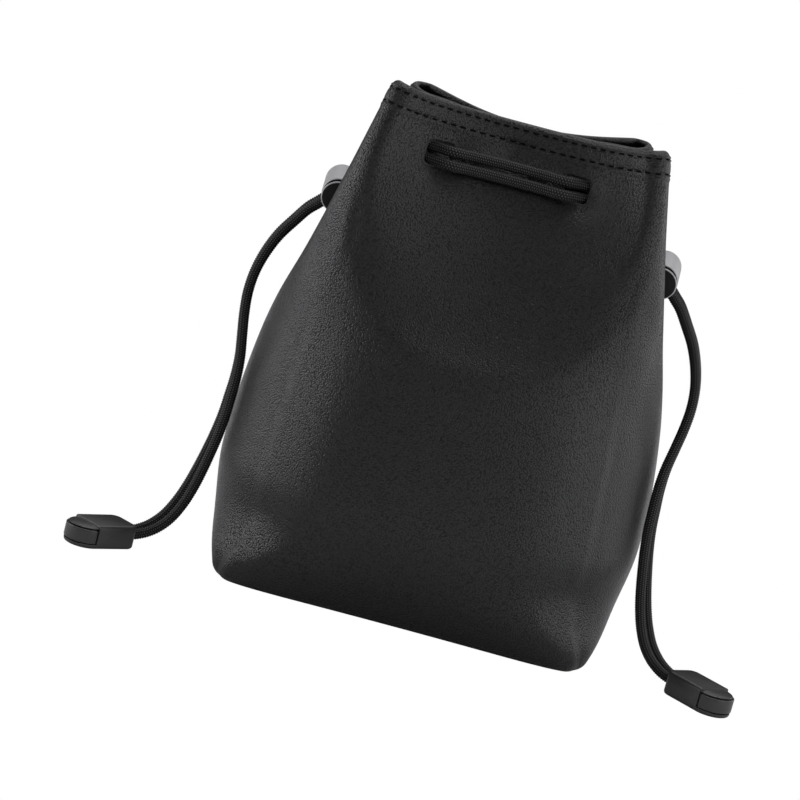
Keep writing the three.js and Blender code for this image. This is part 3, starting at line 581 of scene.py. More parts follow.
PUCKER_LEVELS = (158.0, 163.0, 169.0, 171.5)
FOLD_SIDES = (0.95, 1.12)
WAVE_ACROSS = (17.0, 31.0)
WAVE_BACK = (29.0, 23.0)
WAVE_RISE = 0.35
WAVE_START = (4.0, 24.0)
SEAM_GAP = 0.02
SEAM_SINK = 1.1
SEAM_REACH = 0.035


def rim_run(s, front):
    """Length along the hem from the left end of a panel."""
    fine = np.linspace(-2, 2, RIM_STEPS)
    points = wall(fine, BAG_HEIGHT - STITCH_ROWS[1], 0, front)
    steps = np.linalg.norm(np.diff(points, axis=0), axis=1)
    return np.interp(s, fine, np.concatenate([[0], np.cumsum(steps)]))


def from_line(x, z, corners):
    """Distance of spots from a bent line."""
    nearest = np.full(x.shape, np.inf)
    for (from_x, from_z), (to_x, to_z) in zip(corners[:-1], corners[1:]):
        run_x, run_z = to_x - from_x, to_z - from_z
        t = np.clip(((x - from_x) * run_x + (z - from_z) * run_z) / (run_x ** 2 + run_z ** 2), 0, 1)
        nearest = np.minimum(nearest, np.hypot(x - from_x - t * run_x, z - from_z - t * run_z))
    return nearest


def soft_folds(s, point):
    """Fold from each base corner up the edge of the flat front, a dent beside it, and the pucker
    that the cords draw in below the middle of the rim."""
    x, z = np.abs(point[..., 0]), point[..., 2]
    away = np.hypot(from_line(x, z, CREASE_LINE), CREASE_ROUND) - CREASE_ROUND
    fold = CREASE_RISE * np.exp(-away / CREASE_REACH) * (1 - smooth(z, *CREASE_FADE))
    away = np.hypot(from_line(x, z, PANEL_EDGE), PANEL_EDGE_ROUND) - PANEL_EDGE_ROUND
    fold = fold + PANEL_EDGE_RISE * np.exp(-away / PANEL_EDGE_REACH) * (1 - smooth(z, *PANEL_EDGE_FADE))
    dent_x = (x - DENT_SPOT[0]) / DENT_REACH[0]
    dent_z = (z - DENT_SPOT[1]) / DENT_REACH[1]
    dent = DENT_SINK * np.exp(-dent_x ** 2 - dent_z ** 2)
    pucker = PUCKER_SINK * np.exp(-((point[..., 0] - SLOT_SHIFT) / PUCKER_REACH) ** 2)
    pucker = pucker * smooth(z, *PUCKER_LEVELS[:2]) * (1 - smooth(z, *PUCKER_LEVELS[2:]))
    return (fold - dent - pucker) * (1 - smooth(np.abs(s), *FOLD_SIDES))


def leather_relief(front):
    """How far the leather stands out from the bare wall."""
    def relief(s, level):
        """Rise at places of the wall."""
        s, level = np.broadcast_arrays(np.asarray(s, float), np.asarray(level, float))
        point = wall(s, level, 0, front)
        below_rim = BAG_HEIGHT - level
        out = HEM_RISE * (1 - smooth(below_rim, *HEM_STEP))
        for row in STITCH_ROWS:
            out = out - STITCH_SINK * np.exp(-((below_rim - row) / STITCH_GROOVE) ** 2)
        for side in (-1, 1):
            gap, _ = from_rounded_box(facing_slot(side)(point), SLOT_SIZE, SLOT_CORNER)
            near = np.exp(-(np.maximum(gap, 0) / SLOT_SINK_REACH) ** 2)
            out = out - SLOT_SINK * near * (np.abs(s) < 1)
        out = out - SEAM_SINK * smooth(np.abs(s), 2 - SEAM_REACH, 2) ** 2
        x, y, z = np.moveaxis(point, -1, 0)
        wave = np.sin(x / WAVE_ACROSS[0] + z / WAVE_ACROSS[1]) * np.sin(z / WAVE_BACK[1] - y / WAVE_BACK[0])
        out = out + soft_folds(s, point)
        return out + WAVE_RISE * wave * smooth(level, *WAVE_START)
    return relief


SLOT_BAND = (149.0, 171.0)
LIP_BOTTOM = 177.0
LIP_EDGE = 0.1
PANEL_COLUMNS = 301
SEAM_COLUMNS = 5
EDGE_ROWS = 8
WALL_ROWS = 87
SLOT_ROWS = 39
HEM_ROWS = 25
LIP_STEPS = 10
panel_columns = np.unique(np.concatenate([
    np.linspace(-2, 2, PANEL_COLUMNS),
    [side * (2 - SEAM_REACH * k / SEAM_COLUMNS) for side in (-1, 1) for k in range(SEAM_COLUMNS + 1)],
]))
panel_levels = np.unique(np.concatenate([
    np.linspace(0, BASE_EDGE_RADIUS, EDGE_ROWS) ** 2 / BASE_EDGE_RADIUS,
    np.linspace(BASE_EDGE_RADIUS, SLOT_BAND[0], WALL_ROWS),
    np.linspace(*SLOT_BAND, SLOT_ROWS),
    np.linspace(SLOT_BAND[1], BAG_HEIGHT - WALL / 2, HEM_ROWS),
]))
slot_band = (panel_levels >= SLOT_BAND[0]) & (panel_levels <= SLOT_BAND[1])
every_fifth = np.arange(len(panel_levels)) % 5 == 0
below_lip = panel_levels < LIP_BOTTOM - 1
inner_panel_levels = panel_levels[(slot_band | every_fifth) & below_lip][::-1]
lip_turns = np.linspace(0, math.pi, LIP_STEPS + 1)[1:]
lip_round = WALL / 2
panel_lip = [(BAG_HEIGHT - lip_round * (1 - math.sin(t)), lip_round * (1 - math.cos(t))) for t in lip_turns]
panel_lip += [(LIP_BOTTOM, WALL), (LIP_BOTTOM - LIP_EDGE, LEATHER)]


def panel_outer_inset(front):
    """Inset of a panel's outer face, as a function of s and level."""
    relief = leather_relief(front)
    return lambda s, level: -relief(s, level)


def panel_inner_inset(s, level):
    """Inset of a panel's inner face."""
    return np.full(np.broadcast(s, level).shape, LEATHER)


for name, front in (("front", True), ("back", False)):
    panel = wall_shell(f"{name}_leather", front, panel_columns, panel_levels, inner_panel_levels, panel_lip,
                       panel_outer_inset(front), panel_inner_inset, SLOT_SIZE, SEAM_GAP, black_leather)
    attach(panel, "bag")
    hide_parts(f"{name}_panel")

# Stitches
# Two rows of black thread hold the turned hem, one just below the rim and one at the hem's edge.
# Each stitch is a short float of thread that dips into the leather at both ends.
STITCH_LENGTH = 2.4
THREAD_RADIUS = 0.36
STITCH_LIFT = 0.05
STITCH_DIP = 0.2
STITCH_RINGS = 7
THREAD_SIDES = 8


def thread_finish():
    """Matt black sewing thread."""
    finish = Finish("black_thread")
    return finish.shade({
        "Base Color": grey(0.002),
        "Specular IOR Level": 0.15,
        "Roughness": 0.8,
        "Normal": finish.bump(finish.noise(3800.0, 2.0), 0.4, 0.0001),
    })


def tube_faces(rings, sides, start=0):
    """Faces of a closed tube of rings."""
    faces = []
    for i in range(rings - 1):
        for j in range(sides):
            after = (j + 1) % sides
            low = start + i * sides
            faces.append((low + j, low + after, low + sides + after, low + sides + j))
    faces.append([start + j for j in range(sides)][::-1])
    faces.append([start + (rings - 1) * sides + j for j in range(sides)])
    return faces


def spokes(first, second, turns):
    """Directions about a line at each of its points, turned from the first to the second of a pair."""
    return first[:, None] * np.cos(turns)[None, :, None] + second[:, None] * np.sin(turns)[None, :, None]


def stitch_rows(name, front, material):
    """Both rows of stitches of one panel as one mesh."""
    fine = np.linspace(-2, 2, RIM_STEPS)
    along = rim_run(fine, front)
    inset = panel_outer_inset(front)
    starts = np.arange(along[-1] % STITCH_PITCH / 2, along[-1] - STITCH_LENGTH, STITCH_PITCH)
    places = []
    faces = []
    turns = 2 * np.pi * np.arange(THREAD_SIDES) / THREAD_SIDES
    for row in STITCH_ROWS:
        level = BAG_HEIGHT - row
        for start in starts:
            t = np.linspace(0, 1, STITCH_RINGS)
            s = np.interp(start + STITCH_LENGTH * t, along, fine)
            bow = np.sqrt(np.clip(1 - (2 * t - 1) ** 4, 0.04, 1))
            face = inset(s, np.full(STITCH_RINGS, level))
            centres = wall(s, level, face - STITCH_LIFT * bow + STITCH_DIP * (1 - bow), front)
            outward = centres - wall(s, level, face + WALL, front)
            outward /= np.linalg.norm(outward, axis=1)[:, None]
            heading = np.gradient(centres, axis=0)
            heading /= np.linalg.norm(heading, axis=1)[:, None]
            upward = np.cross(outward, heading)
            radius = (THREAD_RADIUS * bow)[:, None, None]
            ring = centres[:, None] + spokes(outward, upward, turns) * radius
            faces += tube_faces(STITCH_RINGS, THREAD_SIDES, len(places) * STITCH_RINGS * THREAD_SIDES)
            places.append(ring.reshape(-1, 3))
    return mesh_object(name, np.concatenate(places), faces, material)


black_thread = thread_finish()
for name, front in (("front", True), ("back", False)):
    stitches = stitch_rows(f"{name}_stitches", front, black_thread)
    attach(stitches, "bag")

# Plush linings
# A black short-pile plush lines the front, the back and the base. It is sewn in under the rolled
# lip, and the same slots are cut through it for the cords.
LINING_TOP = 176.7
PILE_RISE = 0.4
LINING_SLOT_SIZE = (8.8, 7.4)
LINING_LAP = 0.5
LINING_EDGE = 0.3
LINING_EDGE_INSETS = (0.25, 0.1)
LINING_COLUMNS = 241


def plush_finish():
    """Black pile, in fine tufts and in patches that lie different ways."""
    finish = Finish("black_plush")
    patch = finish.noise(260.0, 3.0)
    height = finish.maths("ADD", finish.noise(1500.0, 4.0), patch)
    return finish.shade({
        "Base Color": finish.between(patch, grey(0.004), grey(0.011)),
        "Roughness": 0.95,
        "Sheen Weight": 0.3,
        "Sheen Roughness": 0.6,
        "Normal": finish.bump(height, 0.9, 0.0006),
    })


def lining_outer_inset(s, level):
    """Inset of a lining's back, against the leather."""
    return np.full(np.broadcast(s, level).shape, LEATHER + GAP)


def lining_inner_inset(s, level):
    """Inset of a lining's pile, which stands up unevenly."""
    s, level = np.broadcast_arrays(np.asarray(s, float), np.asarray(level, float))
    tufts = np.sin(61 * s + 1.3 * level) * np.sin(47 * s - 1.9 * level) + np.sin(23 * s + 0.7 * level + 1.1)
    return WALL + PILE_RISE / 4 * (2 + tufts)


black_plush = plush_finish()
lining_columns = np.linspace(-2, 2, LINING_COLUMNS)
lined = (panel_levels >= BASE_EDGE_RADIUS) & (panel_levels < LINING_TOP - 2 * LINING_EDGE)
lining_levels = panel_levels[lined]
lining_lip = [
    (LINING_TOP - LINING_EDGE, LEATHER + GAP),
    (LINING_TOP, LEATHER + GAP + LINING_EDGE_INSETS[0]),
    (LINING_TOP, WALL - LINING_EDGE_INSETS[1]),
    (LINING_TOP - LINING_EDGE, WALL + PILE_RISE / 2),
]
for name, front in (("front", True), ("back", False)):
    lining = wall_shell(f"{name}_plush", front, lining_columns, lining_levels, lining_levels[::-1],
                        lining_lip, lining_outer_inset, lining_inner_inset, LINING_SLOT_SIZE,
                        -LINING_LAP, black_plush)
    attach(lining, "bag")
    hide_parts(f"{name}_lining")

# Base
# A leather bottom is sewn between the walls. Over it lies a stiff board that keeps the base flat,
# and a sheet of the same plush covers the board.
BOARD = 2.0
BASE_PLUSH = 1.5
BASE_RINGS = 16
BASE_REACH = 50.0
BASE_COLUMNS = 121
BASE_LEATHER_EDGE = 0.4
BASE_PLUSH_EDGE = 0.5


def base_plate(name, bottom, thickness, inset, edge, pile, material):
    """Plate with rounded edges inside the walls, its top face lifted unevenly by the pile."""
    s = np.linspace(-2, 2, BASE_COLUMNS)[:-1]
    rim = np.concatenate([wall(s, bottom, inset, True), wall(s, bottom, inset, False)])[:, :2]
    count = len(rim)
    top = bottom + thickness
    turns = np.linspace(0, math.pi / 2, 5)
    rounding = edge / BASE_REACH
    rings = [(1 - k / BASE_RINGS, bottom) for k in range(BASE_RINGS - 1, 0, -1)]
    rings += [(1 - rounding * (1 - math.sin(t)), bottom + edge * (1 - math.cos(t))) for t in turns]
    rings += [(1 - rounding * (1 - math.cos(t)), top - edge * (1 - math.sin(t))) for t in turns]
    rings += [(1 - k / BASE_RINGS, top) for k in range(1, BASE_RINGS)]
    places = []
    for share, height in rings:
        x, y = share * rim.T
        tufts = np.sin(1.9 * x) * np.sin(1.7 * y) + np.sin(0.8 * x - y)
        lift = pile * (2 + tufts) / 4 if height >= top else 0.0
        places.append(np.column_stack([x, y, np.full(count, height) + lift]))
    return mesh_object(name, np.concatenate(places), tube_faces(len(rings), count), material)


def board_finish():
    """Grey-brown board of pressed fibre."""
    finish = Finish("stiffener_board")
    fibre = finish.noise(900.0, 4.0)
    return finish.shade({
        "Base Color": finish.between(fibre, (0.05, 0.046, 0.04, 1), (0.085, 0.078, 0.068, 1)),
        "Roughness": 0.9,
    })


board_bottom = LEATHER + GAP
plush_bottom = board_bottom + BOARD + GAP
base_leather = base_plate("base_leather", 0, LEATHER, LEATHER + GAP, BASE_LEATHER_EDGE, 0, black_leather)
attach(base_leather, "bag")
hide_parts("base_panel")
base_plush = base_plate("base_plush", plush_bottom, BASE_PLUSH, WALL + GAP, BASE_PLUSH_EDGE, PILE_RISE,
                        black_plush)
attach(base_plush, "bag")
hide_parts("base_lining")
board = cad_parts["base_board"]
board.data.materials.clear()
board.data.materials.append(board_finish())

# Drawcords and their tails
# Two round cords of black braid, one pulled to each side. Each runs round the mouth through the
# slots and leaves it at two side holes, and its two tails hang to a cord end on the ground.
CORD = 3.8
CORD_RADIUS = CORD / 2
CORD_RISE = 2.15
PAIR_HALF = 2.05
LOCK_CENTRE = np.array((-57.95, 1.85, 135.9))
LOCK_AXIS = np.array((0.05, -0.975, -0.2))
LOCK_AXIS /= np.linalg.norm(LOCK_AXIS)
END_FACE = np.array((-98.9, -24.0, 0.0))
END_HEADING = np.array((-0.675, -0.738, 0.0))
END_HEADING /= np.linalg.norm(END_HEADING)
END_MID = 4.2
END_NECK = 5.0

tail_heading = np.array((-0.7, 0.0, -0.71))
tail_heading[1] = -(tail_heading[0] * LOCK_AXIS[0] + tail_heading[2] * LOCK_AXIS[2]) / LOCK_AXIS[1]
tail_heading /= np.linalg.norm(tail_heading)
end_spread = PAIR_HALF * np.array((-END_HEADING[1], END_HEADING[0], 0.0))


def hanging(x, y, z, turn):
    """Middle of the hanging pair, and half the spacing of its front tail, turned by some degrees."""
    angle = math.radians(turn)
    return (x, y, z), (PAIR_HALF * math.sin(angle), -PAIR_HALF * math.cos(angle), 0)


# Left pair of tails: the middle of the pair, then half the spacing of its front tail
tail_route = [((-40.2, 0, 154.6), (0, -4.2, 0))]
tail_route += [(LOCK_CENTRE - 14.5 * tail_heading, (0, -2.4, -0.2))]
tail_route += [(LOCK_CENTRE + t * tail_heading, PAIR_HALF * LOCK_AXIS) for t in (-9, -4.5, 0, 4.5, 9, 13)]
tail_route += [
    hanging(-70.8, 3.6, 121.2, 10),
    hanging(-74.6, 1.9, 115.2, 9),
    hanging(-77.4, -1, 108.5, 7),
    hanging(-79.1, -4.1, 101.5, 5),
    hanging(-79.5, -7, 94.5, 5),
    hanging(-78.8, -9.5, 87.5, 5),
    hanging(-77.5, -12.2, 80.5, 7),
    hanging(-76.1, -15, 73, 9),
    hanging(-75.6, -17.2, 66, 12),
    hanging(-75.8, -18.4, 59, 15),
    hanging(-76.2, -18.6, 52, 18),
    hanging(-77.1, -18.2, 45, 22),
    hanging(-78.4, -17.2, 38, 26),
    hanging(-79.9, -16, 31, 31),
    hanging(-81.7, -15, 24, 36),
    hanging(-84, -14.8, 17.3, 40),
    hanging(-87, -15.8, 11.4, 43),
    hanging(-90.5, -17.6, 7.4, 45),
    hanging(-94, -20, 5.2, 46),
]
tail_route += [(END_FACE + (0, 0, END_MID) + t * END_HEADING, end_spread) for t in (-3, 1.5, END_NECK)]


def mirrored(point, side):
    """A point of the left side, or its mirror image on the right."""
    return np.asarray(point, float) * (-side, 1, 1)


def tail_points(side, way):
    """Route of the front (1) or back (-1) tail of one side."""
    return [mirrored(np.add(middle, np.multiply(way, spread)), side) for middle, spread in tail_route]


OUTSIDE_CLEAR = 0.45
INSIDE_CLEAR = 1.45
OUTSIDE = -(CORD_RADIUS + OUTSIDE_CLEAR)
INSIDE = WALL + CORD_RADIUS + INSIDE_CLEAR
HOLE_APPROACH = 5.0
HOLE_ENTRY = 1.0
HOLE_ENTRY_RISE = 1.6
PASSING_RISE = 1.2
PASSING_INSET = 1.0
HALVINGS = 40


def level_of(s, height, front):
    """Level of the wall that comes to lie at a height."""
    level = height
    for _ in range(4):
        level = height + rim_drop(s, level, front)
    return level


def beside(front, right, y, height, inset):
    """Point of a side wall at a distance y in front of or behind its middle."""
    hand = 1 if right == front else -1
    low, high = 1.0, 2.0
    for _ in range(HALVINGS):
        u = (low + high) / 2
        point = wall(hand * u, level_of(hand * u, height, front), inset, front)
        if abs(point[1]) > y:
            low = u
        else:
            high = u
    return point


def facing(front, x, height, inset):
    """Point of the front or back wall at an x."""
    low, high = -1.0, 1.0
    for _ in range(HALVINGS):
        s = (low + high) / 2
        point = wall(s, level_of(s, height, front), inset, front)
        if (point[0] > x) == front:
            high = s
        else:
            low = s
    return point


def loop_quarter(front, right, height, leaves):
    """Quarter of a cord's run round the mouth, from the middle of the front or back to a side."""
    hand = 1 if right else -1
    way = 1 if front else -1
    edge = SLOT_SIZE[0] / 2
    points = [facing(front, SLOT_SHIFT, height, OUTSIDE)]
    for past, inset in ((-SLOT_SPACING / 4, OUTSIDE), (-edge, OUTSIDE), (0, WALL / 2), (edge, INSIDE)):
        points.append(facing(front, slot_x(hand) + hand * past, height, inset))
    if leaves:
        first, second = tail_points(hand, way)[:2]
        back = (first - second) / np.linalg.norm(first - second)
        points.append(beside(front, right, SIDE_HOLE_Y + HOLE_APPROACH, height, INSIDE))
        entry = SIDE_HOLE_LEVEL + HOLE_ENTRY_RISE
        points.append(beside(front, right, SIDE_HOLE_Y + HOLE_ENTRY, entry, WALL))
        points.append(first + CORD * back)
    else:
        passing = height + math.copysign(PASSING_RISE, height - SLOT_LEVEL)
        points.append(beside(front, right, SIDE_HOLE_Y + HOLE_APPROACH, passing, INSIDE + PASSING_INSET))
        points.append(beside(front, right, 0, passing, INSIDE + PASSING_INSET))
    return points


def cord_points(side, height):
    """Whole route of one cord: its front tail, the loop round the mouth and its back tail."""
    right = side > 0
    loop = loop_quarter(True, right, height, True)[::-1]
    loop += loop_quarter(True, not right, height, False)[1:]
    loop += loop_quarter(False, not right, height, False)[::-1][1:]
    loop += loop_quarter(False, right, height, True)[1:]
    return tail_points(side, 1)[::-1] + loop + tail_points(side, -1)


ROUTE_STEPS = 40


def smooth_route(points, spacing):
    """Evenly spaced points on a smooth curve through the points of a route."""
    points = np.array(points)
    points = np.concatenate([[2 * points[0] - points[1]], points, [2 * points[-1] - points[-2]]])
    fine = []
    for a, b, c, d in zip(points[:-3], points[1:-2], points[2:-1], points[3:]):
        before, here, after = (math.sqrt(np.linalg.norm(v)) for v in (b - a, c - b, d - c))
        leave = ((b - a) / before - (c - a) / (before + here) + (c - b) / here) * here
        arrive = ((c - b) / here - (d - b) / (here + after) + (d - c) / after) * here
        t = np.linspace(0, 1, ROUTE_STEPS, endpoint=False)[:, None]
        fine.append((2 * t ** 3 - 3 * t ** 2 + 1) * b + (t ** 3 - 2 * t ** 2 + t) * leave
                    + (3 * t ** 2 - 2 * t ** 3) * c + (t ** 3 - t ** 2) * arrive)
    fine = np.concatenate(fine + [points[-2:-1]])
    run = np.concatenate([[0], np.cumsum(np.linalg.norm(np.diff(fine, axis=0), axis=1))])
    even = np.linspace(0, run[-1], int(round(run[-1] / spacing)) + 1)
    return np.stack([np.interp(even, run, fine[:, k]) for k in range(3)], axis=1), even


# Braid: rows of slanted floats along the cord, alternate rows slanting the other way
BRAID_ROWS = 12
BRAID_PITCH = 0.85
BRAID_SLANT = 0.4
BRAID_DEPTH = 0.3
BRAID_PAINTED_SHADE_POWER = 4.0
ROW_SIDES = 4
RING_SPACING = BRAID_PITCH / 4
FIRST_LEAN = (0.3, 0.5, 0.8)
PATH_STEP = 4


def braid_height(turn, run):
    """Height of the braid, 0 in the grooves to 1 on the floats, at a turn from 0 to 1 and a run."""
    row = np.floor(turn * BRAID_ROWS)
    across = turn * BRAID_ROWS - row - 0.5
    lean = np.where(row % 2 == 0, 1, -1)
    along = run / BRAID_PITCH + lean * across * BRAID_SLANT + 0.5 * (row % 2)
    return np.cos(np.pi * across) ** 0.7 * (0.45 + 0.55 * np.cos(2 * np.pi * along))


def rings_along(centres):
    """Two directions square to the cord at each centre, turning as little as they can."""
    headings = np.gradient(centres, axis=0)
    headings /= np.linalg.norm(headings, axis=1)[:, None]
    sideways = np.cross(headings[0], FIRST_LEAN)
    sideways /= np.linalg.norm(sideways)
    first = np.empty_like(centres)
    for k, heading in enumerate(headings):
        sideways = sideways - heading * sideways.dot(heading)
        sideways /= np.linalg.norm(sideways)
        first[k] = sideways
    return first, np.cross(headings, first)


def cord_piece(name, centres, first, second, run, material):
    """Braided tube round a stretch of a cord."""
    sides = BRAID_ROWS * ROW_SIDES
    turn = np.arange(sides) / sides
    height = braid_height(turn[None, :], run[:, None])
    radius = CORD_RADIUS - BRAID_DEPTH * (1 - np.clip(height, 0, 1))
    spoke = spokes(first, second, 2 * np.pi * turn)
    places = (centres[:, None] + spoke * radius[..., None]).reshape(-1, 3)
    piece = mesh_object(name, places, tube_faces(len(centres), sides), material)
    # The braid attribute is painted shade in the grooves and a painted highlight on the floats, taken from
    # the braid's height
    tone = piece.data.attributes.new("braid", "FLOAT", "POINT")
    tone.data.foreach_set("value", np.clip(height, 0, 1).ravel() ** BRAID_PAINTED_SHADE_POWER)
    return piece


def braid_finish():
    """Black yarn, with painted shade in the grooves and a painted highlight on the floats."""
    finish = Finish("black_braid")
    height = finish.add("ShaderNodeAttribute", "Fac", attribute_name="braid")
    return finish.shade({
        "Base Color": finish.between(height, grey(0.001), grey(0.2)),
        "Specular IOR Level": 0.3,
        "Roughness": 0.6,
        "Normal": finish.bump(finish.noise(2600.0, 2.0), 0.35, 0.0001),
    })


black_braid = braid_finish()
tail_facts = {}
for side_name, side in (("left", -1), ("right", 1)):
    height = SLOT_LEVEL - side * CORD_RISE
    centres, run = smooth_route(cord_points(side, height), RING_SPACING)
    first, second = rings_along(centres)
    starts = [np.argmin(np.linalg.norm(centres - tail_points(side, way)[0], axis=1)) for way in (1, -1)]
    stretches = {
        f"{side_name}_tail_front": (0, starts[0]),
        f"{side_name}_drawcord": (starts[0], starts[1]),
        f"{side_name}_tail_back": (starts[1], len(centres) - 1),
    }
    for name, (begin, end) in stretches.items():
        part = slice(begin, end + 1)
        piece = cord_piece(f"{name}_braid", centres[part], first[part], second[part], run[part], black_braid)
        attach(piece, "bag")
        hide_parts(name)
        if "tail" in name:
            path = centres[part][::PATH_STEP] * MM
            tail_facts[name] = (path if name.endswith("back") else path[::-1], (run[end] - run[begin]) * MM)

# Cord locks
# A barrel of satin grey metal-look plastic with a bore and a cross slot for both tails. A black
# plunger slides in the bore, and a coil spring pushes it out so that its window pinches the tails.
BARREL_RADIUS = 5.9
BARREL_LENGTH = 18.2
BARREL_BORE = 4.5
BARREL_FLOOR = 1.4
BARREL_FILLET = 2.4
MOUTH_ROUND = 0.5
BORE_CHAMFER = 0.2
PAINTED_MOUTH_SHADE_RADIUS = 5.5
PAINTED_MOUTH_SHADE_DEPTH = 0.6
CROSS_SLOT = 4.6
CROSS_CORNER = 1.9
CROSS_ROUND = 0.3
WINDOW_ROUND = 0.25
SPRING_LENGTH = 4.7
SPRING_WIRE = 0.7
SPRING_RADIUS = 3.5
SPRING_CURLS = 3.5
SPRING_STEPS = 240
WIRE_SIDES = 12
PLUNGER_STROKE = 2.0
PLUNGER_NOSE = 1.4
SHAFT_CHAMFER = 0.3
HEAD_RADIUS = 5.75
HEAD_THICKNESS = 1.2
HEAD_ROUND = 0.4
HEAD_FOOT_ROUND = 0.25
LATHE_SIDES = 96

pair_reach = PAIR_HALF + CORD_RADIUS
plunger_end = BARREL_FLOOR + SPRING_LENGTH + 2 * GAP
window_start = plunger_end + PLUNGER_NOSE
pair_centre = window_start + GAP + pair_reach
window_end = pair_centre + pair_reach + GAP + PLUNGER_STROKE
head_start = BARREL_LENGTH + PLUNGER_STROKE + GAP
head_end = head_start + HEAD_THICKNESS


def arc(centre_x, centre_y, radius, start, end, steps=8):
    """Points of an arc between two angles in degrees."""
    turns = np.radians(np.linspace(start, end, steps + 1))
    return [(centre_x + radius * math.cos(t), centre_y + radius * math.sin(t)) for t in turns]


def lathe(name, profile, material):
    """Solid turned from a profile of radius and height that starts and ends on the axis."""
    turns = 2 * np.pi * np.arange(LATHE_SIDES) / LATHE_SIDES
    places = [(0, 0, profile[0][1]), (0, 0, profile[-1][1])]
    for radius, height in profile[1:-1]:
        places += [(radius * math.cos(t), radius * math.sin(t), height) for t in turns]
    rings = len(profile) - 2
    faces = tube_faces(rings, LATHE_SIDES, 2)[:-2]
    for j in range(LATHE_SIDES):
        after = (j + 1) % LATHE_SIDES
        top = 2 + (rings - 1) * LATHE_SIDES
        faces.append((0, 2 + after, 2 + j))
        faces.append((1, top + j, top + after))
    return mesh_object(name, places, faces, material)


def prism(name, outline_points, low, high, axis="z"):
    """Plastic solid with a flat outline, along z, or along x with the outline in y and z."""
    count = len(outline_points)
    places = []
    for height in (low, high):
        for a, b in outline_points:
            places.append((a, b, height) if axis == "z" else (height, a, b))
    return mesh_object(name, places, tube_faces(2, count), black_plastic)


def box_outline(width, height, corner, steps=6):
    """Outline of a rounded box about the origin."""
    half_width = width / 2 - corner
    half_height = height / 2 - corner
    points = []
    for k, (x, y) in enumerate(((half_width, half_height), (-half_width, half_height),
                                (-half_width, -half_height), (half_width, -half_height))):
        points += arc(x, y, corner, 90 * k, 90 * k + 90, steps)
    return points


def worked(piece, cuts=(), joins=(), bevel=None, smooth_angle=35):
    """The piece with other solids cut away or joined on, and its sharp edges rounded."""
    for operation, others in (("DIFFERENCE", cuts), ("UNION", joins)):
        for other in others:
            step = piece.modifiers.new(operation, "BOOLEAN")
            step.operation = operation
            step.object = other
            step.solver = "EXACT"
    if bevel:
        step = piece.modifiers.new("edges", "BEVEL")
        step.width = bevel * MM
        step.segments = 3
        step.limit_method = "ANGLE"
        step.angle_limit = math.radians(40)
    bpy.context.view_layer.update()
    made = bpy.data.meshes.new_from_object(piece.evaluated_get(bpy.context.evaluated_depsgraph_get()))
    piece.modifiers.clear()
    material = piece.data.materials[0]
    piece.data = made
    made.materials.clear()
    made.materials.append(material)
    made.polygons.foreach_set("use_smooth", [True] * len(made.polygons))
    made.set_sharp_from_angle(angle=math.radians(smooth_angle))
    for other in (*cuts, *joins):
        bpy.data.objects.remove(other)
    return piece


def gunmetal_finish():
    """Satin grey coat with a look of metal."""
    finish = Finish("satin_gunmetal")
    grain = finish.noise(1800.0, 3.0)
    return finish.shade({
        "Base Color": finish.between(grain, grey(0.5), grey(0.56)),
        "Metallic": 0.2,
        "Roughness": 0.45,
        "Normal": finish.bump(grain, 0.12, 0.0001),
    })


def plastic_finish(name, tone, roughness):
    """Moulded plastic with a slightly uneven shine."""
    finish = Finish(name)
    grain = finish.noise(2400.0, 2.0)
    return finish.shade({
        "Base Color": grey(tone),
        "Roughness": finish.spread(grain, roughness - 0.05, roughness + 0.05),
        "Normal": finish.bump(grain, 0.15, 0.0001),
    })


def steel_finish():
    """Drawn spring wire."""
    finish = Finish("spring_steel")
    return finish.shade({
        "Base Color": grey(0.55),
        "Metallic": 1.0,
        "Roughness": finish.spread(finish.noise(1200.0, 2.0), 0.2, 0.34),
    })


satin_gunmetal = gunmetal_finish()
black_plastic = plastic_finish("black_plastic", 0.05, 0.3)
plunger_plastic = plastic_finish("plunger_plastic", 0.002, 0.6)
spring_steel = steel_finish()


def cross_cut(low, high):
    """Cutter of the slot through which both tails pass."""
    points = [(a, b + (low + high) / 2) for a, b in box_outline(CROSS_SLOT, high - low, CROSS_CORNER)]
    return prism("cross_cut", points, -2 * BARREL_RADIUS, 2 * BARREL_RADIUS, "x")


def lock_frame(side):
    """Frame of a lock: x along the tails, z along the barrel from its closed end."""
    axis = mirrored(LOCK_AXIS, side)
    heading = mirrored(tail_heading, side)
    origin = mirrored(LOCK_CENTRE, side) - axis * pair_centre
    turn = Matrix(np.column_stack([heading, np.cross(axis, heading), axis]).tolist())
    return Matrix.Translation(origin * MM) @ turn.to_4x4(), axis


def spring_coil(name):
    """Coil of round wire, closed up at both ends."""
    t = np.linspace(0, 1, SPRING_STEPS)
    turn = 2 * np.pi * SPRING_CURLS * t
    bottom = BARREL_FLOOR + GAP + SPRING_WIRE / 2
    rise = (SPRING_LENGTH - SPRING_WIRE) * t
    centres = np.stack([SPRING_RADIUS * np.cos(turn), SPRING_RADIUS * np.sin(turn), bottom + rise], axis=1)
    first, second = rings_along(centres)
    spoke = spokes(first, second, 2 * np.pi * np.arange(WIRE_SIDES) / WIRE_SIDES)
    places = (centres[:, None] + spoke * SPRING_WIRE / 2).reshape(-1, 3)
    return mesh_object(name, places, tube_faces(SPRING_STEPS, WIRE_SIDES), spring_steel)


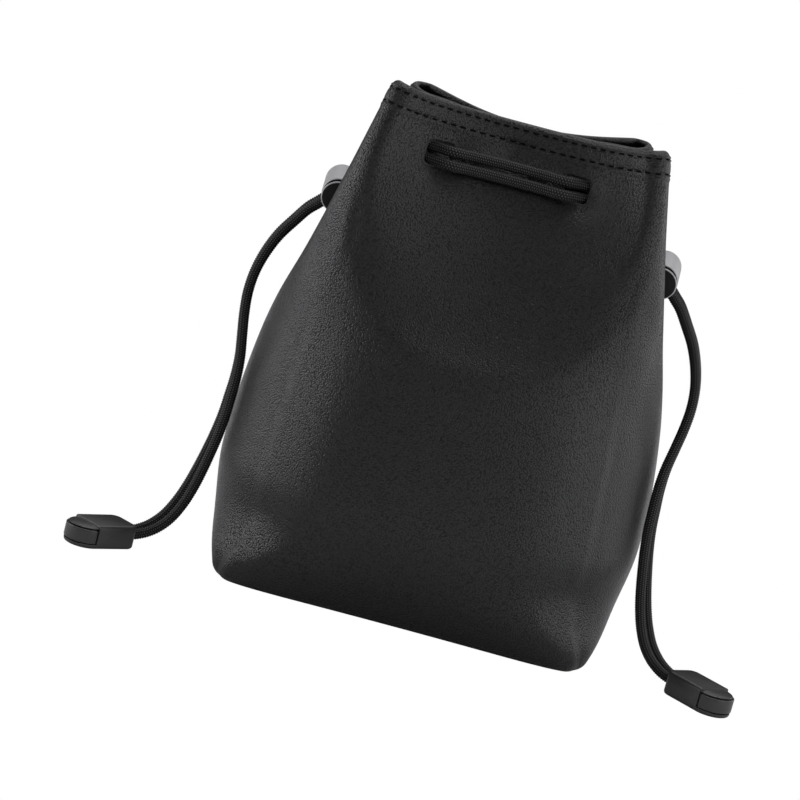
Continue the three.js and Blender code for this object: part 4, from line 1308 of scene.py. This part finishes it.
lock_pieces = {}
for side_name, side in (("left", -1), ("right", 1)):
    place, axis = lock_frame(side)
    profile = [(0, 0)]
    profile += arc(BARREL_RADIUS - BARREL_FILLET, BARREL_FILLET, BARREL_FILLET, -90, 0, 12)
    profile += arc(BARREL_RADIUS - MOUTH_ROUND, BARREL_LENGTH - MOUTH_ROUND, MOUTH_ROUND, 0, 90, 5)
    profile += [(BARREL_BORE + BORE_CHAMFER, BARREL_LENGTH), (BARREL_BORE, BARREL_LENGTH - BORE_CHAMFER)]
    profile += [(BARREL_BORE, BARREL_FLOOR), (0, BARREL_FLOOR)]
    barrel = lathe(f"{side_name}_barrel", profile, satin_gunmetal)
    slot_low = pair_centre - pair_reach - GAP
    slot_high = pair_centre + pair_reach + GAP
    worked(barrel, cuts=[cross_cut(slot_low, slot_high)], bevel=CROSS_ROUND)
    # Painted shade: the barrel's end face and the top of its bore take the plunger's near-black plastic, so
    # the gap under the plunger head reads dark
    barrel.data.materials.append(plunger_plastic)
    for face in barrel.data.polygons:
        spot = face.center / MM
        if spot.z > BARREL_LENGTH - PAINTED_MOUTH_SHADE_DEPTH and spot.xy.length < PAINTED_MOUTH_SHADE_RADIUS:
            face.material_index = 1
    shaft = BARREL_BORE - GAP
    profile = [(0, plunger_end), (shaft - SHAFT_CHAMFER, plunger_end)]
    profile += [(shaft, plunger_end + SHAFT_CHAMFER), (shaft, head_start)]
    profile += arc(HEAD_RADIUS - HEAD_FOOT_ROUND, head_start + HEAD_FOOT_ROUND, HEAD_FOOT_ROUND, -90, 0, 4)
    profile += arc(HEAD_RADIUS - HEAD_ROUND, head_end - HEAD_ROUND, HEAD_ROUND, 0, 90, 6)
    profile += [(0, head_end)]
    plunger = lathe(f"{side_name}_plunger", profile, plunger_plastic)
    worked(plunger, cuts=[cross_cut(window_start, window_end)], bevel=WINDOW_ROUND)
    # Painted highlight: the rounded edge of the head's face takes the barrel's light grey, as a bright rim
    # round the black disc
    plunger.data.materials.append(satin_gunmetal)
    for face in plunger.data.polygons:
        spot = face.center / MM
        if spot.z > head_end - HEAD_ROUND and spot.xy.length > HEAD_RADIUS - HEAD_ROUND:
            face.material_index = 1
    spring = spring_coil(f"{side_name}_spring")
    for piece, body, node, slot in (
        (barrel, "lock", "lock_barrel", "gunmetal"),
        (plunger, "plunger", "lock_plunger", "plastic"),
        (spring, "lock", "lock_spring", "spring_steel"),
    ):
        piece.data.transform(place)
        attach(piece, f"{side_name}_{body}")
        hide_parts(f"{side_name}_{node}")
    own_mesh(spring)
    lock_pieces[side_name] = [barrel, plunger, spring]

# Cord ends
# A flat housing of satin black plastic with a half-round tip takes both tails. Their melted ends
# form a bead inside it, and a U-shaped clip slides over the tip and shuts the housing.
END_LENGTH = 25.0
END_WIDTH = 14.0
END_HEIGHT = 8.4
END_CORNER = 3.4
END_ROUND = 1.1
END_EDGE = 0.2
STEP_SINK = 0.35
STEP_SLOPE = 0.05
DOME_INSET = 0.45
DOME_SPREAD = 4.5
DOME_EDGE = 0.15
DOME_GAP = 0.35
CORE_LAP = 0.25
CUT_LAP = 1.0
CUT_CLEAR = 3.0
BAND_LOW = 1.9
BAND_TOP = 6.7
BAND_THICKNESS = 1.3
BAND_LENGTH = 7.2
BAND_PROUD = 0.25
BAND_EDGE = 0.3
BAND_GAP = 0.8
BAND_GROOVE = 1.6
CAVITY = (9.0, 5.6)
PLUG_LENGTH = 7.0
BEAD_SIZE = np.array((4.5, 8.7, 5.0))
BEAD_LUMP = 0.05

tip_centre = END_LENGTH - END_WIDTH / 2
band_start = END_LENGTH - BAND_LENGTH
past_tip = END_LENGTH + END_WIDTH
dome_low = BAND_TOP + DOME_GAP
dome_high = END_HEIGHT - STEP_SINK
core_top = dome_low + CORE_LAP
cavity_low = END_MID - CAVITY[1] / 2
cavity_high = END_MID + CAVITY[1] / 2


def end_outline(length, half, inset):
    """Outline of a cord end seen from above: rounded corners at the cords, a half-round tip."""
    corner = max(END_CORNER - inset, 0.05)
    from_edge = inset + corner
    points = arc(from_edge, from_edge - half, corner, 180, 270, 8)
    points += arc(length - half, 0, half - inset, -90, 90, 40)
    return points + arc(from_edge, half - from_edge, corner, 90, 180, 8)


def stacked(name, length, half, layers):
    """Solid of outlines laid over each other, each with an inset and a height."""
    outlines = [[(x, y, height) for x, y in end_outline(length, half, inset)] for inset, height in layers]
    places = [place for ring in outlines for place in ring]
    return mesh_object(name, places, tube_faces(len(layers), len(outlines[0])), black_plastic)


def housing_body(name):
    """Plain housing with rounded edges."""
    turns = np.linspace(0, math.pi / 2, 6)
    layers = [(END_ROUND * (1 - math.sin(t)), END_ROUND * (1 - math.cos(t))) for t in turns]
    layers += [(inset, END_HEIGHT - height) for inset, height in layers[::-1]]
    return stacked(name, END_LENGTH, END_WIDTH / 2, layers)


def dome_solid():
    """Pillow over the clip, lowered a little towards the tip, with its end inside the housing."""
    foot = dome_low + DOME_EDGE
    layers = [(DOME_EDGE, dome_low)]
    for t in np.linspace(0, math.pi / 2, 12):
        layers.append((DOME_SPREAD * (1 - math.cos(t)), foot + (dome_high - foot) * math.sin(t)))
    dome = stacked("dome", END_LENGTH - DOME_INSET, END_WIDTH / 2 - DOME_INSET, layers)
    for vertex in dome.data.vertices:
        share = (vertex.co.z / MM - dome_low) / (dome_high - dome_low)
        vertex.co.z -= STEP_SLOPE * max(vertex.co.x - band_start * MM, 0) * share
    behind = block_outline(-END_LENGTH, band_start - CUT_LAP, 2 * END_WIDTH)
    return worked(dome, cuts=[prism("behind", behind, -END_HEIGHT, 2 * END_HEIGHT)])


def band_outline(start, outer, inner):
    """U shape round the tip between two insets of the outline."""
    wide = END_WIDTH / 2 - outer
    narrow = END_WIDTH / 2 - inner
    points = [(start, -wide)] + arc(tip_centre, 0, wide, -90, 90, 40) + [(start, wide)]
    return points + [(start, narrow)] + arc(tip_centre, 0, narrow, 90, -90, 40) + [(start, -narrow)]


def block_outline(low, high, width):
    """Outline of a plain block between two lengths."""
    return [(low, -width / 2), (high, -width / 2), (high, width / 2), (low, width / 2)]


def housing(name):
    """Housing with its groove for the clip, its cavity, its neck and the dome above the clip."""
    body = housing_body(name)
    round_tip = band_outline(band_start, -CUT_CLEAR, BAND_GROOVE)
    groove = prism("groove", round_tip, BAND_LOW - GAP, 2 * END_HEIGHT)
    top = prism("top", block_outline(band_start, past_tip, 2 * END_WIDTH), core_top, 2 * END_HEIGHT)
    cavity = prism("cavity", block_outline(END_NECK, past_tip, CAVITY[0]), cavity_low, cavity_high)
    neck_height = CORD + 2 * GAP
    neck_width = 2 * PAIR_HALF + neck_height
    neck_points = [(a, b + END_MID) for a, b in box_outline(neck_width, neck_height, CORD_RADIUS)]
    neck = prism("neck", neck_points, -END_NECK, END_NECK + CUT_LAP, "x")
    worked(body, cuts=[groove, top], joins=[dome_solid()])
    return worked(body, cuts=[cavity, neck], bevel=END_EDGE)


def clip(name):
    """U-shaped band with rounded edges, and the plug on its inside that shuts the cavity."""
    middle = END_WIDTH / 2 + BAND_PROUD - BAND_THICKNESS / 2
    start = band_start + BAND_GAP
    height = BAND_TOP - BAND_LOW
    reach = math.acos((start + BAND_EDGE - tip_centre) / middle)
    stops = [(turn, 0) for turn in np.linspace(-reach, reach, 49)]
    stops = [(-reach - BAND_EDGE / middle, BAND_EDGE), *stops, (reach + BAND_EDGE / middle, BAND_EDGE)]
    places = []
    for turn, shrink in stops:
        for a, b in box_outline(BAND_THICKNESS - shrink, height - shrink, BAND_EDGE, 4):
            from_tip = middle + a
            across = (tip_centre + from_tip * math.cos(turn), from_tip * math.sin(turn))
            places.append((*across, (BAND_LOW + BAND_TOP) / 2 + b))
    sides = len(places) // len(stops)
    band = mesh_object(name, places, tube_faces(len(stops), sides), black_plastic)
    plug_half = CAVITY[0] / 2 - GAP
    plug_start = END_LENGTH - BAND_GROOVE - PLUG_LENGTH
    lean = math.degrees(math.asin(plug_half / middle))
    plug_points = [(plug_start, plug_half), (plug_start, -plug_half)]
    plug_points += arc(tip_centre, 0, middle, -lean, lean, 12)
    return worked(band, joins=[prism("plug", plug_points, cavity_low + GAP, cavity_high - GAP)])


def bead(name):
    """Lump of melted braid that holds both tails in the housing."""
    ball = bmesh.new()
    bmesh.ops.create_icosphere(ball, subdivisions=4, radius=1.0)
    places = np.array([vertex.co for vertex in ball.verts])
    faces = [[vertex.index for vertex in face.verts] for face in ball.faces]
    ball.free()
    x, y, z = places.T
    lumps = 1 - BEAD_LUMP * (1 + np.sin(7 * x + 3 * y) * np.sin(6 * z - 2 * y))
    places = places * lumps[:, None] * BEAD_SIZE / 2
    return mesh_object(name, places + (END_NECK + GAP + BEAD_SIZE[0] / 2, 0, END_MID), faces, black_plastic)


for side_name, side in (("left", -1), ("right", 1)):
    heading = mirrored(END_HEADING, side)
    place = Matrix.Translation(mirrored(END_FACE, side) * MM)
    place = place @ Matrix.Rotation(math.atan2(heading[1], heading[0]), 4, "Z")
    end_pieces = []
    for piece, body, node, slot in (
        (housing(f"{side_name}_housing"), "bag", "end_housing", "plastic"),
        (clip(f"{side_name}_clip"), f"{side_name}_clip", "end_clip", "plastic"),
        (bead(f"{side_name}_bead"), "bag", "end_bead", "braid"),
    ):
        piece.data.transform(place)
        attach(piece, body)
        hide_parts(f"{side_name}_{node}")
        end_pieces.append(piece)
    for name, pieces in ((f"{side_name}_tail_front", end_pieces + lock_pieces[side_name]),
                         (f"{side_name}_tail_back", end_pieces)):
        path, length = tail_facts[name]

# Floor
# A plain white sweep under the pouch. It sends light back up, and the picture's white background
# stands in for it where the camera looks past the pouch.
FLOOR_HALF = 1500.0


def floor_finish():
    """White paper, not quite even."""
    finish = Finish("white_sweep")
    return finish.shade({
        "Base Color": finish.between(finish.noise(4.0, 2.0), grey(0.76), grey(0.8)),
        "Roughness": 0.9,
    })


floor_corners = [(x * FLOOR_HALF, y * FLOOR_HALF, -GAP) for x, y in ((-1, -1), (1, -1), (1, 1), (-1, 1))]
floor = mesh_object("floor", floor_corners, [(0, 1, 2, 3)], floor_finish())
floor.visible_camera = False

# Light
# Soft boxes above the pouch and all round it, as in a product studio, turned to its middle. The
# background is plain white to the camera and nearly dark to the pouch.
LIGHT_TARGET = Vector((0, 0, 0.09))
BACKGROUND_FILL = 0.01
BACKGROUND_SEEN = 1.0


def soft_light(name, place, width, height, power):
    """A rectangular soft box."""
    light = bpy.data.lights.new(name, "AREA")
    light.shape = "RECTANGLE"
    light.size = width
    light.size_y = height
    light.energy = power
    lamp = bpy.data.objects.new(name, light)
    lamp.location = place
    lamp.rotation_euler = (LIGHT_TARGET - Vector(place)).to_track_quat("-Z", "Y").to_euler()
    bpy.context.collection.objects.link(lamp)


# Each soft box: its place, width and height in metres, and its power in watts
STUDIO_LIGHTS = (
    ("left_light", (-1.2, 0, 0.35), 0.8, 0.9, 7.2),
    ("left_front_light", (-0.95, -0.75, 0.35), 0.7, 0.9, 0.6),
    ("left_back_light", (-0.95, 0.75, 0.35), 0.7, 0.9, 0.6),
    ("right_light", (1.2, 0, 0.35), 0.8, 0.9, 2.5),
    ("right_front_light", (0.95, -0.75, 0.35), 0.7, 0.9, 3.0),
    ("right_back_light", (0.95, 0.75, 0.35), 0.7, 0.9, 2.7),
    ("front_light", (0, -1.4, 0.3), 0.8, 0.6, 0.4),
    ("top_light", (0, 0.3, 1.17), 1.0, 0.45, 4.6),
    ("top_front_light", (0, -0.9, 1.0), 1.2, 0.8, 1.6),
    ("top_back_light", (0, 0.9, 1.0), 1.2, 0.8, 2.0),
    ("top_right_light", (0.85, -0.1, 0.95), 0.8, 0.8, 1.5),
)
for name, place, width, height, power in STUDIO_LIGHTS:
    soft_light(name, place, width, height, power)

world = bpy.data.worlds.new("studio")
world.use_nodes = True
world_nodes = world.node_tree.nodes
world_links = world.node_tree.links
seen = world_nodes.new("ShaderNodeLightPath").outputs["Is Camera Ray"]
strength = world_nodes.new("ShaderNodeMapRange")
strength.inputs["To Min"].default_value = BACKGROUND_FILL
strength.inputs["To Max"].default_value = BACKGROUND_SEEN
world_links.new(seen, strength.inputs["Value"])
world_links.new(strength.outputs[0], world_nodes["Background"].inputs["Strength"])
world_nodes["Background"].inputs["Color"].default_value = (1, 1, 1, 1)
bpy.context.scene.world = world
bpy.context.scene.view_settings.view_transform = "Standard"
